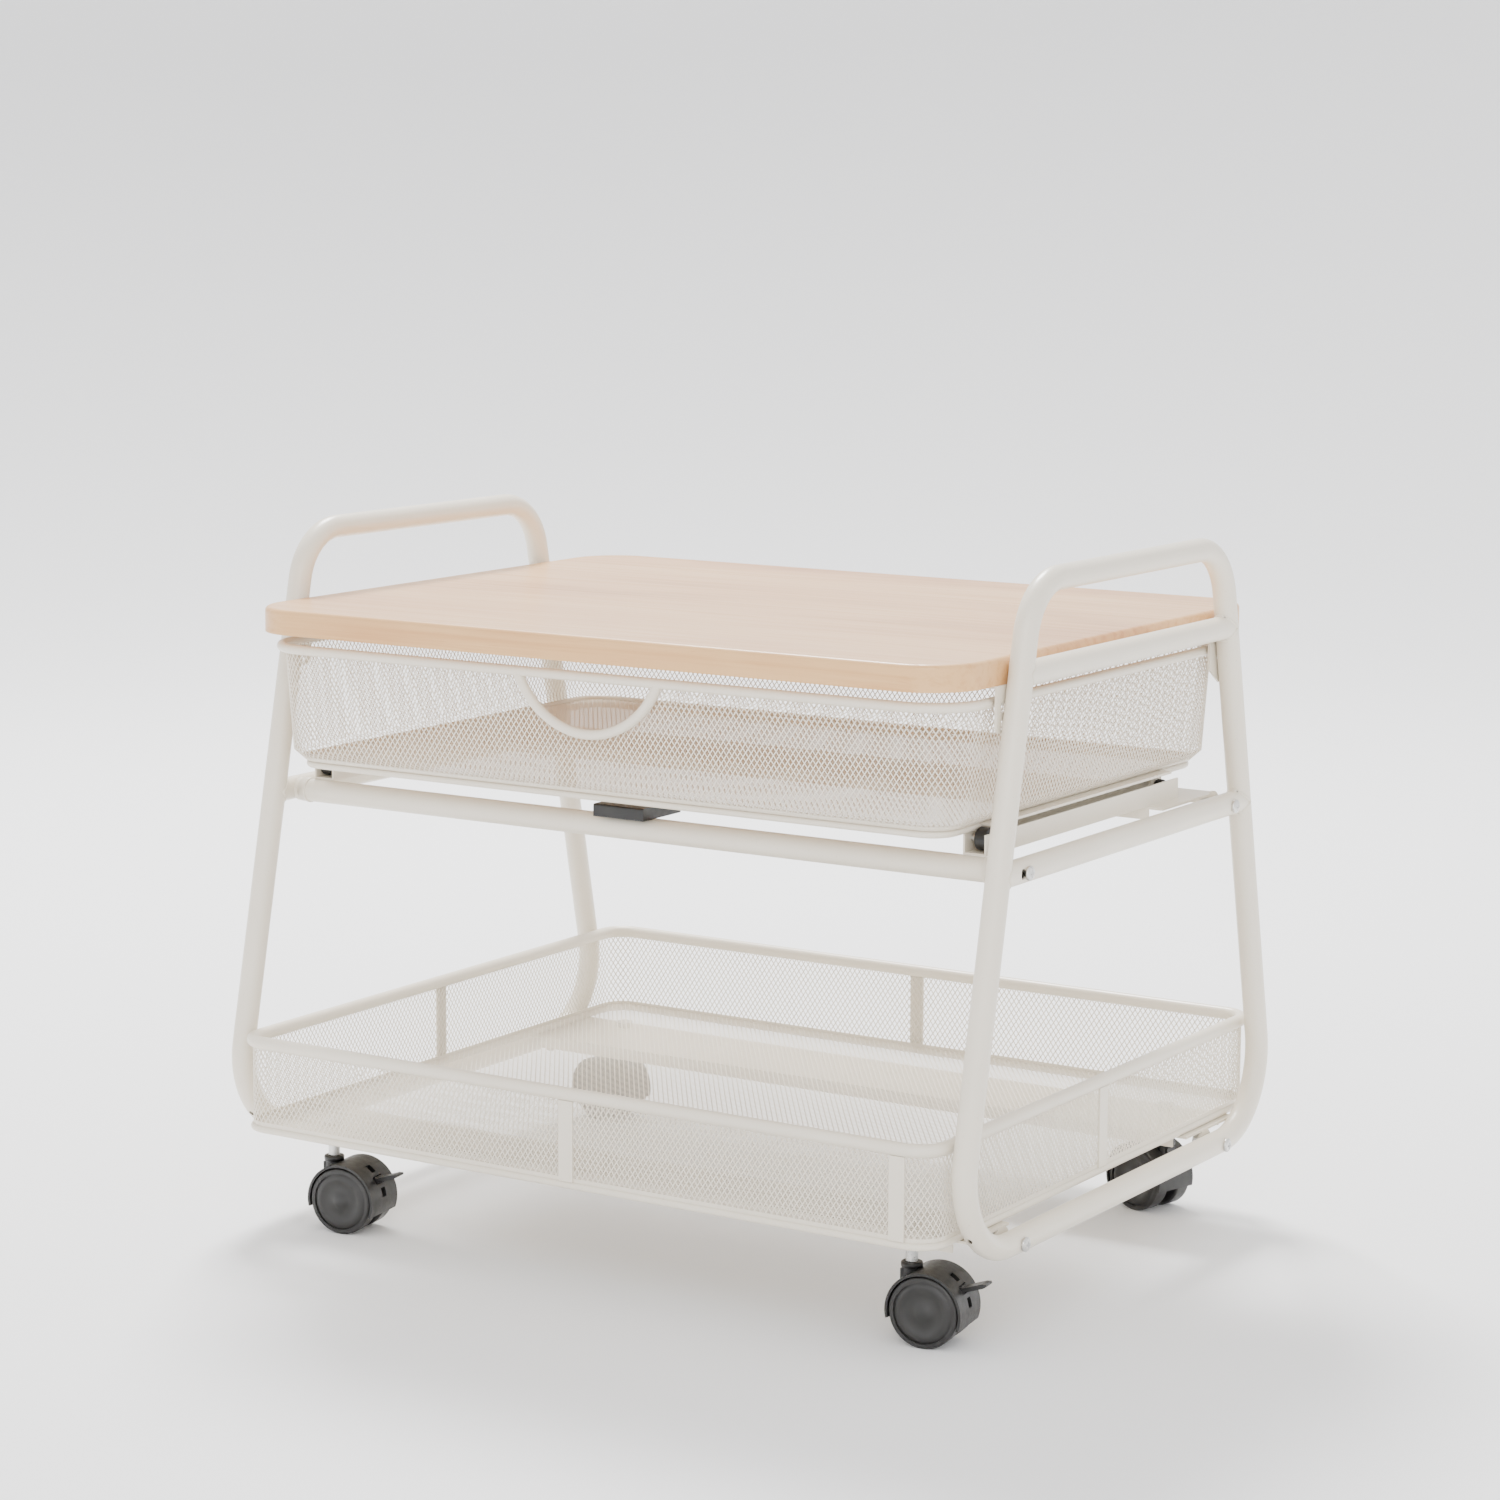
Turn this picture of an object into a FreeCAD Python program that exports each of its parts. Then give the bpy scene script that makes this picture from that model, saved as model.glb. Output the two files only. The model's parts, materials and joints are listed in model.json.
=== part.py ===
import FreeCAD, Part
import math
import os
import Sketcher

# Mobile printer stand: two bent tube side loops joined by cross members, a wooden top,
# a mesh drawer on roller slides, a mesh tray and four twin wheel casters.
# Frame: +X right, +Y rear, +Z up. The origin is on the floor under the middle of the stand.

doc = FreeCAD.newDocument("PrinterStand")
sheet = doc.addObject("Spreadsheet::Sheet", "Size")

drivingSizes = (
    # side loops and rails
    ("loopX", 260), ("tubeRadius", 7.25), ("tubeWall", 1.2),
    ("handleZ", 435.2), ("handleCorner", 121), ("handleBend", 38),
    ("footRailZ", 57.8), ("footCorner", 200.7), ("footBend", 50),
    ("upperRailZ", 384.3), ("midRailZ", 272.8),
    ("drainZ", 70.5), ("drainRadius", 1.6),
    # bolts, nuts and cross members
    ("boltRadius", 3), ("boltClear", 0.1), ("boltHeadRadius", 4.3), ("boltHeadHeight", 2.6),
    ("nutRadius", 5.4), ("nutHeight", 4.5), ("boltTail", 1.5),
    ("crossTubeY", 138), ("plugLength", 16),
    ("midBoltY", 133), ("footBoltY", 131.5),
    ("plateThick", 1.5), ("plateFlange", 8), ("earRadius", 8.3),
    ("midPlateFrontY", 63), ("midPlateRearY", 137),
    ("footPlateInnerY", 105), ("footFrontInnerY", 123.5), ("footPlateOuterY", 172), ("footPlateTopZ", 66.5),
    # wooden top and its brackets
    ("boardX", 251.4), ("boardY", 194.5), ("boardThick", 15.5), ("boardCorner", 35), ("boardEase", 3),
    ("boardBottomZ", 378.7),
    ("bracketThick", 1.5), ("bracketTab", 26), ("bracketGap", 0.05),
    ("frontBracketY", 137), ("frontBracketWidth", 18), ("frontBracketDrop", 27),
    ("rearBracketY", 138), ("rearBracketWidth", 28), ("rearBracketDrop", 30),
    ("bracketSlotWidth", 8), ("slotDown", 10), ("slotHeight", 5.5), ("slotStep", 4.5),
    ("screwRadius", 2), ("screwHeadRadius", 4), ("screwLength", 11),
    # drawer
    ("drawerMidY", -7.5), ("drawerRimX", 246.4), ("drawerRimY", 175.5), ("drawerRimZ", 368.7),
    ("drawerRimRadius", 3.05), ("rimInset", 2.6), ("rimSeat", 2.3), ("drawerCorner", 32),
    ("drawerLean", 4.4), ("drawerBevel", 8), ("drawerBevelRise", 6), ("drawerFloorZ", 297), ("meshThick", 1),
    ("rimRadius", 4), ("footWireRadius", 2.2),
    ("pullHalf", 50), ("pullDrop", 34), ("pullWireRadius", 3),
    # drawer slides
    ("channelX", 234.6), ("channelWidth", 15), ("channelHeight", 12.2), ("channelWall", 1.2),
    ("channelFrontY", 137), ("channelRearY", 105),
    ("rollerInset", 9), ("rollerRadius", 6.7), ("rollerWidth", 8), ("rollerClear", 0.5),
    ("pinRadius", 2), ("pinHeadRadius", 3.2), ("pinHeadHeight", 1.2), ("runFit", 0.08), ("slideClear", 0.3),
    ("runnerThick", 1.5), ("runnerFrontY", 125), ("runnerRearY", 99),
    ("tailRollerY", 91), ("tailRollerRadius", 5.6), ("tailRollerWidth", 5), ("tailTabLength", 14),
    ("catchWidth", 36), ("catchLength", 40), ("catchHeight", 7.5), ("catchFrontY", 151),
    # tray
    ("trayX", 247.3), ("trayY", 204.5), ("trayRimZ", 123.8), ("trayCorner", 16),
    ("strapWidth", 10), ("strapThick", 1), ("strapSeamX", 226),
    # casters
    ("casterX", 210.5), ("casterY", 161), ("casterTrail", 13), ("wheelRadius", 21), ("wheelWidth", 11.4),
    ("wheelEase", 1.6), ("hubDish", 1), ("wheelSideClear", 0.4), ("webThick", 8), ("hoodClear", 0.7),
    ("hoodThick", 1.6), ("hoodStart", -21), ("hoodSweep", 214), ("hubRadius", 8),
    ("bossRadius", 5.6), ("bossTopZ", 46.2), ("bossDepth", 24), ("axleRadius", 2), ("axleShort", 3),
    ("stemRadius", 3.6), ("stemPinRadius", 2.5), ("stemPinDepth", 20), ("stemRise", 0.3), ("stemNutRadius", 6.4),
    ("stemNutHeight", 3.6),
    ("leverLift", 34), ("leverRise", 18), ("leverReach", 16.5), ("leverWidth", 9), ("leverThick", 2.6),
    ("turnFrontLeft", 8), ("turnFrontRight", 8), ("turnRearLeft", 170), ("turnRearRight", 164),
    ("leverHub", 2.2), ("leverWindow", 5.6), ("hoodSlotWidth", 4.6), ("hoodSlotHeight", 6), ("hoodSlotStep", 21),
)

derivedSizes = (
    ("tubeBore", "tubeRadius - tubeWall"),
    ("loopInnerX", "loopX - tubeRadius"),
    ("midTopZ", "midRailZ + tubeRadius"),
    ("boltHole", "boltRadius + boltClear"),
    ("midPlateMidY", "(midPlateFrontY + midPlateRearY) / 2"),
    ("midPlateWidth", "midPlateRearY - midPlateFrontY"),
    ("footPlateMidY", "(footPlateInnerY + footPlateOuterY) / 2"),
    ("footFrontMidY", "(footFrontInnerY + footPlateOuterY) / 2"),
    ("footFrontWidth", "footPlateOuterY - footFrontInnerY"),
    ("footPlateWidth", "footPlateOuterY - footPlateInnerY"),
    ("earX", "loopInnerX - plateThick"),
    ("plateX", "loopInnerX"),
    ("bracketX", "loopInnerX - bracketGap"),
    ("mouthOuter", "rimInset - meshThick / 2"),
    ("mouthInner", "rimInset + meshThick / 2"),
    ("kneeOuter", "mouthOuter + drawerLean"),
    ("kneeInner", "mouthInner + drawerLean"),
    ("floorOuter", "kneeOuter + drawerBevel"),
    ("floorInner", "kneeInner + drawerBevel"),
    ("drawerFloorX", "drawerRimX - floorOuter"),
    ("drawerFloorY", "drawerRimY - floorOuter"),
    ("drawerFloorCorner", "drawerCorner - floorOuter"),
    ("drawerFrontY", "drawerRimY - drawerMidY"),
    ("drawerKneeLift", "drawerBevelRise + meshThick"),
    ("drawerDeep", "drawerRimZ - rimSeat - drawerFloorZ"),
    ("drawerWireZ", "drawerFloorZ - footWireRadius"),
    ("pullRadius", "(pullHalf * pullHalf + pullDrop * pullDrop) / (2 * pullDrop)"),
    ("pullCentre", "pullRadius - pullDrop"),
    ("pullCutRadius", "pullRadius + pullWireRadius"),
    ("channelInnerHalf", "channelWidth / 2 - channelWall"),
    ("channelHalf", "channelWidth / 2"),
    ("rollerZ", "midTopZ + channelWall + rollerClear + rollerRadius"),
    ("rollerY", "channelFrontY - rollerInset"),
    ("rollerHalf", "rollerWidth / 2"),
    ("rollerBore", "pinRadius + runFit"),
    ("runnerFootZ", "rollerZ + rollerRadius + slideClear"),
    ("runnerInX", "drawerFloorX + bracketGap"),
    ("runnerOutX", "channelX + channelInnerHalf - rollerClear"),
    ("rollerX", "runnerOutX - rollerHalf"),
    ("tailRollerZ", "midTopZ + channelWall + slideClear + tailRollerRadius"),
    ("tailTabX", "drawerFloorX + 2 * slideClear"),
    ("tailRollerX", "tailTabX + runnerThick + slideClear"),
    ("traySideOuterX", "trayX + meshThick / 2"),
    ("traySideOuterY", "trayY + meshThick / 2"),
    ("traySideInnerX", "trayX - meshThick / 2"),
    ("traySideInnerY", "trayY - meshThick / 2"),
    ("trayOuterCorner", "trayCorner + meshThick / 2"),
    ("trayInnerCorner", "trayCorner - meshThick / 2"),
    ("trayWireZ", "footPlateTopZ + footWireRadius"),
    ("trayFloorZ", "footPlateTopZ + 2 * footWireRadius"),
    ("trayDeep", "trayRimZ - rimRadius - trayFloorZ"),
    ("wheelInnerY", "webThick / 2 + wheelSideClear"),
    ("wheelOuterY", "wheelInnerY + wheelWidth"),
    ("hoodInner", "wheelRadius + hoodClear"),
    ("hoodOuter", "hoodInner + hoodThick"),
    ("hoodWidth", "2 * wheelOuterY"),
    ("wheelBore", "axleRadius + runFit"),
    ("axleHalf", "wheelOuterY - axleShort"),
    ("wheelTreadY", "wheelOuterY - hubDish"),
    ("rimStep", "wheelRadius - 3"),
    ("stemBore", "stemPinRadius + runFit"),
    ("bossBottomZ", "bossTopZ - bossDepth"),
    ("leverRadius", "hoodInner + hoodThick / 2"),
    ("frontBracketHalf", "frontBracketWidth / 2"),
    ("rearBracketHalf", "rearBracketWidth / 2"),
    ("rearBracketShoulder", "rearBracketDrop - rearBracketWidth / 3"),
    ("slotHalf", "bracketSlotWidth / 2"),
    ("slotOneTop", "slotDown"),
    ("slotOneBottom", "slotOneTop + slotHeight"),
    ("slotTwoTop", "slotOneBottom + slotStep"),
    ("slotTwoBottom", "slotTwoTop + slotHeight"),
    ("screwInset", "bracketTab * 2 / 3"),
    ("screwX", "bracketX - screwInset"),
    ("screwHeadZ", "boardBottomZ - bracketThick"),
    ("screwHeadDepth", "screwRadius"),
    ("screwHeadBottomZ", "screwHeadZ - screwHeadDepth"),
    ("screwBite", "screwLength - bracketThick"),
    ("pullCutZ", "drawerRimZ - drawerFloorZ + pullCentre"),
    ("drawerWireX", "drawerFloorX - footWireRadius"),
    ("drawerWireY", "drawerFloorY - footWireRadius"),
    ("drawerWireCorner", "drawerFloorCorner - footWireRadius"),
    ("channelLength", "channelFrontY + channelRearY"),
    ("channelMidY", "(channelRearY - channelFrontY) / 2"),
    ("channelPinY", "rollerY + channelMidY"),
    ("channelPinZ", "rollerZ - midTopZ"),
    ("fixedPinX", "channelX - channelHalf - pinHeadHeight"),
    ("fixedPinLength", "channelWidth + 2 * pinHeadHeight"),
    ("fixedPinOuterX", "channelX + channelHalf"),
    ("tailRollerHalf", "tailRollerWidth / 2"),
    ("tailRollerMidX", "tailRollerX + tailRollerHalf"),
    ("tailPinLength", "runnerThick + 2 * slideClear + tailRollerWidth + pinHeadHeight"),
    ("tailPinHeadX", "tailTabX + tailPinLength - pinHeadHeight"),
    ("runnerLength", "runnerFrontY + runnerRearY"),
    ("runnerMidY", "(runnerRearY - runnerFrontY) / 2"),
    ("tailPinY", "tailRollerY - runnerMidY"),
    ("tailPinDrop", "runnerFootZ - tailRollerZ"),
    ("tailTabDrop", "tailPinDrop + pinHeadRadius"),
    ("tailTabFrontY", "tailPinY - tailTabLength / 2"),
    ("tailTabRearY", "tailPinY + tailTabLength / 2"),
    ("catchSeatY", "catchFrontY - crossTubeY"),
    ("catchSeatLength", "2 * catchWidth"),
    ("hoodHalf", "hoodWidth / 2"),
    ("hoodMid", "hoodInner + hoodThick / 2"),
    ("webHalf", "webThick / 2"),
    ("bossBottomUp", "bossBottomZ - wheelRadius"),
    ("stemBlockHeight", "bossDepth - 4"),
    ("stemPinBottomZ", "bossTopZ + stemRise - stemPinDepth"),
    ("stemHoleBottomUp", "stemPinBottomZ - slideClear - wheelRadius"),
    ("stemHoleDepth", "stemPinDepth + bossDepth"),
    ("stemBottomZ", "bossTopZ + stemRise"),
    ("stemLength", "footPlateTopZ + stemNutHeight - stemBottomZ"),
    ("axleEndY", "axleHalf + slideClear"),
    ("leverAngle", "leverLift"),
    ("leverWindowWidth", "leverWidth + 1"),
    ("slotHighAngle", "leverLift + hoodSlotStep"),
    ("slotLowAngle", "leverLift - hoodSlotStep"),
    ("leverOffX", "leverRadius * cos(leverLift * 1 deg)"),
    ("leverZ", "wheelRadius + leverRadius * sin(leverLift * 1 deg)"),
    ("leverHalf", "leverThick / 2"),
    ("leverKnee", "leverReach - leverThick"),
    ("leverTipLow", "-leverHalf + leverThick / 4"),
    ("leverTipHigh", "leverHalf - leverThick / 4"),
)


# Where each caster's axle, the end of its spindle and its lever hub stand, for the way the caster is turned.
casterSpots = (("FrontLeft", "-", "-"), ("FrontRight", "", "-"), ("RearLeft", "-", ""), ("RearRight", "", ""))
for spot, left, front in casterSpots:
    across, along = "cos(turn%s * 1 deg)" % spot, "sin(turn%s * 1 deg)" % spot
    derivedSizes += (
        ("axle%sX" % spot, "%scasterX + casterTrail * %s" % (left, across)),
        ("axle%sY" % spot, "%scasterY + casterTrail * %s" % (front, along)),
        ("spindle%sX" % spot, "axle%sX - axleHalf * %s" % (spot, along)),
        ("spindle%sY" % spot, "axle%sY + axleHalf * %s" % (spot, across)),
        ("lever%sX" % spot, "axle%sX + leverOffX * %s" % (spot, across)),
        ("lever%sY" % spot, "axle%sY + leverOffX * %s" % (spot, along)),
    )


namedSizes = []


def fillSheet():
    row = 1
    for alias, number in drivingSizes:
        sheet.set("A%d" % row, alias)
        sheet.set("B%d" % row, str(number))
        sheet.setAlias("B%d" % row, alias)
        row += 1
    for alias, formula in derivedSizes:
        sheet.set("A%d" % row, alias)
        sheet.set("B%d" % row, "=" + formula)
        sheet.setAlias("B%d" % row, alias)
        row += 1
    doc.recompute()


def nameSize(alias, formula):
    if alias in namedSizes:
        return
    namedSizes.append(alias)
    row = len(drivingSizes) + len(derivedSizes) + len(namedSizes)
    sheet.set("A%d" % row, alias)
    sheet.set("B%d" % row, formula)
    sheet.setAlias("B%d" % row, alias)
    doc.recompute()


def size(name):
    # The value of one named size; a leading minus mirrors it.
    if name == "0":
        return 0.0
    if name.startswith("-"):
        return -float(sheet.get(name[1:]))
    return float(sheet.get(name))


def ref(name):
    if name.startswith("-"):
        return "-Size." + name[1:]
    return "Size." + name


def bind(thing, prop, name):
    if name == "0":
        return
    thing.setExpression(prop, ref(name))


def place(thing, x="0", y="0", z="0"):
    bind(thing, "Placement.Base.x", x)
    bind(thing, "Placement.Base.y", y)
    bind(thing, "Placement.Base.z", z)
    return thing


def turn(thing, axis, degrees):
    thing.Placement = FreeCAD.Placement(FreeCAD.Vector(), FreeCAD.Rotation(axis, degrees))
    return thing


xAxis = FreeCAD.Vector(1, 0, 0)
yAxis = FreeCAD.Vector(0, 1, 0)
zAxis = FreeCAD.Vector(0, 0, 1)


def newBody(name):
    return doc.addObject("PartDesign::Body", name)


def newSketch(body, name, plane, lift="0"):
    sketch = body.newObject("Sketcher::SketchObject", name)
    for feature in body.Origin.OriginFeatures:
        if feature.Role == plane + "_Plane":
            sketch.AttachmentSupport = [(feature, "")]
    sketch.MapMode = "FlatFace"
    bind(sketch, "AttachmentOffset.Base.z", lift)
    return sketch


def constrain(sketch, name, *constraint):
    index = sketch.addConstraint(Sketcher.Constraint(*constraint))
    if name is not None:
        bind(sketch, "Constraints[%d]" % index, name)
    return index


def pinPoint(sketch, geometry, point, x, y):
    # Holds one sketch point at named distances from the sketch's origin.
    if x == "0":
        constrain(sketch, None, "PointOnObject", geometry, point, -2)
    else:
        constrain(sketch, x, "DistanceX", -1, 1, geometry, point, size(x))
    if y == "0":
        constrain(sketch, None, "PointOnObject", geometry, point, -1)
    else:
        constrain(sketch, y, "DistanceY", -1, 1, geometry, point, size(y))


def circle(sketch, x, y, radius):
    centre = FreeCAD.Vector(size(x), size(y), 0)
    index = sketch.addGeometry(Part.Circle(centre, zAxis, size(radius)), False)
    constrain(sketch, radius, "Radius", index, size(radius))
    pinPoint(sketch, index, 3, x, y)


def outline(sketch, corners, closed=True):
    # Straight sides between corners; a corner with a third name is rounded to that radius.
    points = [FreeCAD.Vector(size(c[0]), size(c[1]), 0) for c in corners]
    count = len(points)
    arrive = []
    leave = []
    arcs = []
    for i, corner in enumerate(corners):
        here = points[i]
        arc = None
        inPoint = here
        outPoint = here
        if len(corner) > 2:
            back = (points[i - 1] - here).normalize()
            ahead = (points[(i + 1) % count] - here).normalize()
            radius = size(corner[2])
            half = back.getAngle(ahead) / 2
            inPoint = here + back * (radius / math.tan(half))
            outPoint = here + ahead * (radius / math.tan(half))
            centre = here + (back + ahead).normalize() * (radius / math.sin(half))
            leftTurn = back.cross(ahead).z < 0
            first = inPoint if leftTurn else outPoint
            last = outPoint if leftTurn else inPoint
            start = math.atan2(first.y - centre.y, first.x - centre.x)
            stop = math.atan2(last.y - centre.y, last.x - centre.x)
            if stop < start:
                stop += 2 * math.pi
            arc = (Part.ArcOfCircle(Part.Circle(centre, zAxis, radius), start, stop), leftTurn)
        arrive.append(inPoint)
        leave.append(outPoint)
        arcs.append(arc)
    sides = count if closed else count - 1
    lines = []
    for i in range(sides):
        segment = Part.LineSegment(leave[i], arrive[(i + 1) % count])
        lines.append(sketch.addGeometry(segment, False))
    for i, corner in enumerate(corners):
        before = lines[i - 1] if closed or i > 0 else None
        after = lines[i] if i < sides else None
        if arcs[i] is None:
            if before is not None and after is not None:
                constrain(sketch, None, "Coincident", before, 2, after, 1)
            if after is not None:
                pinPoint(sketch, after, 1, corner[0], corner[1])
            else:
                pinPoint(sketch, before, 2, corner[0], corner[1])
            continue
        shape, leftTurn = arcs[i]
        bend = sketch.addGeometry(shape, False)
        knee = sketch.addGeometry(Part.Point(points[i]), True)
        constrain(sketch, None, "Tangent", before, 2, bend, 1 if leftTurn else 2)
        constrain(sketch, None, "Tangent", after, 1, bend, 2 if leftTurn else 1)
        constrain(sketch, corner[2], "Radius", bend, size(corner[2]))
        constrain(sketch, None, "PointOnObject", knee, 1, before)
        constrain(sketch, None, "PointOnObject", knee, 1, after)
        pinPoint(sketch, knee, 1, corner[0], corner[1])


def rectangle(sketch, x, y, corner=None):
    tail = () if corner is None else (corner,)
    outline(sketch, [("-" + x, "-" + y) + tail, (x, "-" + y) + tail, (x, y) + tail, ("-" + x, y) + tail])


def pad(body, sketch, length, symmetric=False, reverse=False):
    feature = body.newObject("PartDesign::Pad", sketch.Name + "Pad")
    feature.Profile = sketch
    feature.SideType = "Symmetric" if symmetric else "One side"
    feature.Reversed = reverse
    bind(feature, "Length", length)
    return feature


def pocket(body, sketch, length=None, symmetric=False, reverse=False):
    doc.recompute()
    before = body.Shape.Volume
    feature = body.newObject("PartDesign::Pocket", sketch.Name + "Pocket")
    feature.Profile = sketch
    feature.SideType = "Symmetric" if symmetric else "One side"
    feature.Reversed = reverse
    if length is None:
        feature.Type = "ThroughAll"
    else:
        bind(feature, "Length", length)
    doc.recompute()
    if body.Shape.Volume > before - 0.01:
        raise RuntimeError(sketch.Name + " cuts nothing")
    return feature


def pipe(body, path, section, kind="PartDesign::AdditivePipe"):
    feature = body.newObject(kind, section.Name + "Pipe")
    feature.Profile = section
    feature.Spine = (path, [])
    return feature


def revolve(body, sketch, axis):
    feature = body.newObject("PartDesign::Revolution", sketch.Name + "Turn")
    feature.Profile = sketch
    feature.ReferenceAxis = (sketch, [axis])
    feature.Angle = 360
    return feature


def cylinder(name, radius, height, x="0", y="0", z="0", axis=None, degrees=0):
    # A cylinder from its base point along +Z, or along another axis once turned.
    part = doc.addObject("Part::Cylinder", name)
    bind(part, "Radius", radius)
    bind(part, "Height", height)
    if axis is not None:
        turn(part, axis, degrees)
    return place(part, x, y, z)


def cut(name, base, tool):
    part = doc.addObject("Part::Cut", name)
    part.Base = base
    part.Tool = tool
    return part


def fuse(name, pieces):
    part = doc.addObject("Part::MultiFuse", name)
    part.Shapes = pieces
    return part


def gather(name, pieces):
    # Several like pieces of one kind, kept apart as separate solids.
    part = doc.addObject("Part::Compound", name)
    part.Links = pieces
    return part


subParts = []


def keep(thing, label):
    thing.Label = label
    subParts.append(thing)
    return thing


fillSheet()
sides = (("left", "-"), ("right", ""))
ends = (("front", "-"), ("rear", ""))


# Side loops: one closed loop of tube each, wider at the foot than at the handle.
def loopPipe(name, bore):
    body = newBody(name)
    path = newSketch(body, name + "Path", "YZ")
    outline(path, [
        ("0", "footRailZ"), ("footCorner", "footRailZ", "footBend"),
        ("handleCorner", "handleZ", "handleBend"), ("-handleCorner", "handleZ", "handleBend"),
        ("-footCorner", "footRailZ", "footBend")])
    section = newSketch(body, name + "Section", "XZ")
    circle(section, "0", "footRailZ", "tubeRadius")
    pipe(body, path, section)
    if bore:
        hollow = newSketch(body, name + "Hollow", "XZ")
        circle(hollow, "0", "footRailZ", "tubeBore")
        pipe(body, path, hollow, "PartDesign::SubtractivePipe")
    return body


def sideLoop(side, sign):
    body = loopPipe("SideLoop" + side.title(), True)
    holes = newSketch(body, "FootBoltHoles" + side.title(), "YZ")
    circle(holes, "footBoltY", "footRailZ", "boltHole")
    circle(holes, "-footBoltY", "footRailZ", "boltHole")
    pocket(body, holes, symmetric=True)
    drain = newSketch(body, "Drain" + side.title(), "XZ")
    circle(drain, "0", "drainZ", "drainRadius")
    pocket(body, drain, "footCorner", reverse=True)
    place(body, sign + "loopX")
    keep(body, "side_loop_" + side)


# Rails across each loop, coped to the slanted legs.
def loopRail(side, sign, level, railZ, bolted):
    name = level.title() + "Rail" + side.title()
    body = newBody(name)
    section = newSketch(body, name + "Section", "XZ")
    circle(section, "0", railZ, "tubeRadius")
    circle(section, "0", railZ, "tubeBore")
    feature = pad(body, section, "footCorner", symmetric=True)
    feature.setExpression("Length", "2 * Size.footCorner")
    if bolted:
        holes = newSketch(body, name + "BoltHoles", "YZ")
        circle(holes, "-crossTubeY", railZ, "boltHole")
        circle(holes, "midBoltY", railZ, "boltHole")
        pocket(body, holes, symmetric=True)
    doc.recompute()
    outside = cut(name + "Coped", body, loopPipe(name + "LegEnvelope", False))
    core = loopCore(name + "Core")
    rail = doc.addObject("Part::Common", name + "Trimmed")
    rail.Base = outside
    rail.Tool = core
    place(rail, sign + "loopX")
    keep(rail, level + "_rail_" + side)


# The space inside a loop, which ends a rail at its legs.
def loopCore(name):
    body = newBody(name)
    sketch = newSketch(body, name + "Outline", "YZ")
    outline(sketch, [
        ("footCorner", "footRailZ"), ("handleCorner", "handleZ"),
        ("-handleCorner", "handleZ"), ("-footCorner", "footRailZ")])
    feature = pad(body, sketch, "tubeRadius", symmetric=True)
    feature.setExpression("Length", "4 * Size.tubeRadius")
    return body


# A pan head bolt lying along X, its head outside the rail.
def railBolt(name, sign, y, z):
    body = newBody(name)
    sketch = newSketch(body, name + "Profile", "XZ")
    outline(sketch, [
        ("0", "0"), ("boltHeadHeight", "0"), ("boltHeadHeight", "boltHeadRadius", "boltTail"),
        ("0", "boltHeadRadius")])
    revolve(body, sketch, "H_Axis")
    shank = newSketch(body, name + "Shank", "YZ")
    circle(shank, "0", "0", "boltRadius")
    feature = pad(body, shank, "tubeRadius", reverse=True)
    feature.setExpression("Length", "2 * Size.tubeRadius + Size.plateThick + Size.nutHeight + Size.boltTail")
    if sign == "-":
        turn(body, zAxis, 180)
    body.setExpression("Placement.Base.x", "%s(Size.loopX + Size.tubeRadius)" % (sign or "1 * "))
    bind(body, "Placement.Base.y", y)
    bind(body, "Placement.Base.z", z)
    return body


# A hex nut lying along X, its outer face against the plate's ear.
def earNut(name, sign, y, z):
    prism = doc.addObject("Part::Prism", name + "Hexagon")
    prism.Polygon = 6
    bind(prism, "Circumradius", "nutRadius")
    bind(prism, "Height", "nutHeight")
    turn(prism, yAxis, -90 if sign == "" else 90)
    hole = cylinder(name + "Thread", "boltRadius", "nutHeight", axis=yAxis, degrees=-90 if sign == "" else 90)
    nut = cut(name, prism, hole)
    return place(nut, sign + "earX", y, z)


# The plug in each end of the front cross tube that takes its bolt.
def tubePlug(name, sign):
    outer = cylinder(name + "Body", "tubeBore", "plugLength", axis=yAxis, degrees=-90 if sign == "" else 90)
    hole = cylinder(name + "Thread", "boltRadius", "plugLength", axis=yAxis, degrees=-90 if sign == "" else 90)
    return place(cut(name, outer, hole), sign + "loopInnerX", "-crossTubeY", "midRailZ")


def fasteners():
    midBolts = []
    footBolts = []
    nuts = []
    for side, sign in sides:
        tag = side.title()
        midBolts.append(railBolt("MidBoltFront" + tag, sign, "-crossTubeY", "midRailZ"))
        midBolts.append(railBolt("MidBoltRear" + tag, sign, "midBoltY", "midRailZ"))
        nuts.append(tubePlug("TubePlug" + tag, sign))
        nuts.append(earNut("MidNut" + tag, sign, "midBoltY", "midRailZ"))
        for end, along in ends:
            footBolts.append(railBolt("FootBolt" + end.title() + tag, sign, along + "footBoltY", "footRailZ"))
            nuts.append(earNut("FootNut" + end.title() + tag, sign, along + "footBoltY", "footRailZ"))
    keep(gather("MidBolts", midBolts), "mid_rail_bolts")
    keep(gather("FootBolts", footBolts), "foot_rail_bolts")
    keep(gather("FrameNuts", nuts), "frame_nuts")


def frontCrossTube():
    body = newBody("FrontCrossTube")
    section = newSketch(body, "CrossTubeSection", "YZ")
    circle(section, "0", "0", "tubeRadius")
    circle(section, "0", "0", "tubeBore")
    feature = pad(body, section, "loopInnerX", symmetric=True)
    feature.setExpression("Length", "2 * Size.loopInnerX")
    place(body, "0", "-crossTubeY", "midRailZ")
    keep(body, "front_cross_tube")


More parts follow.
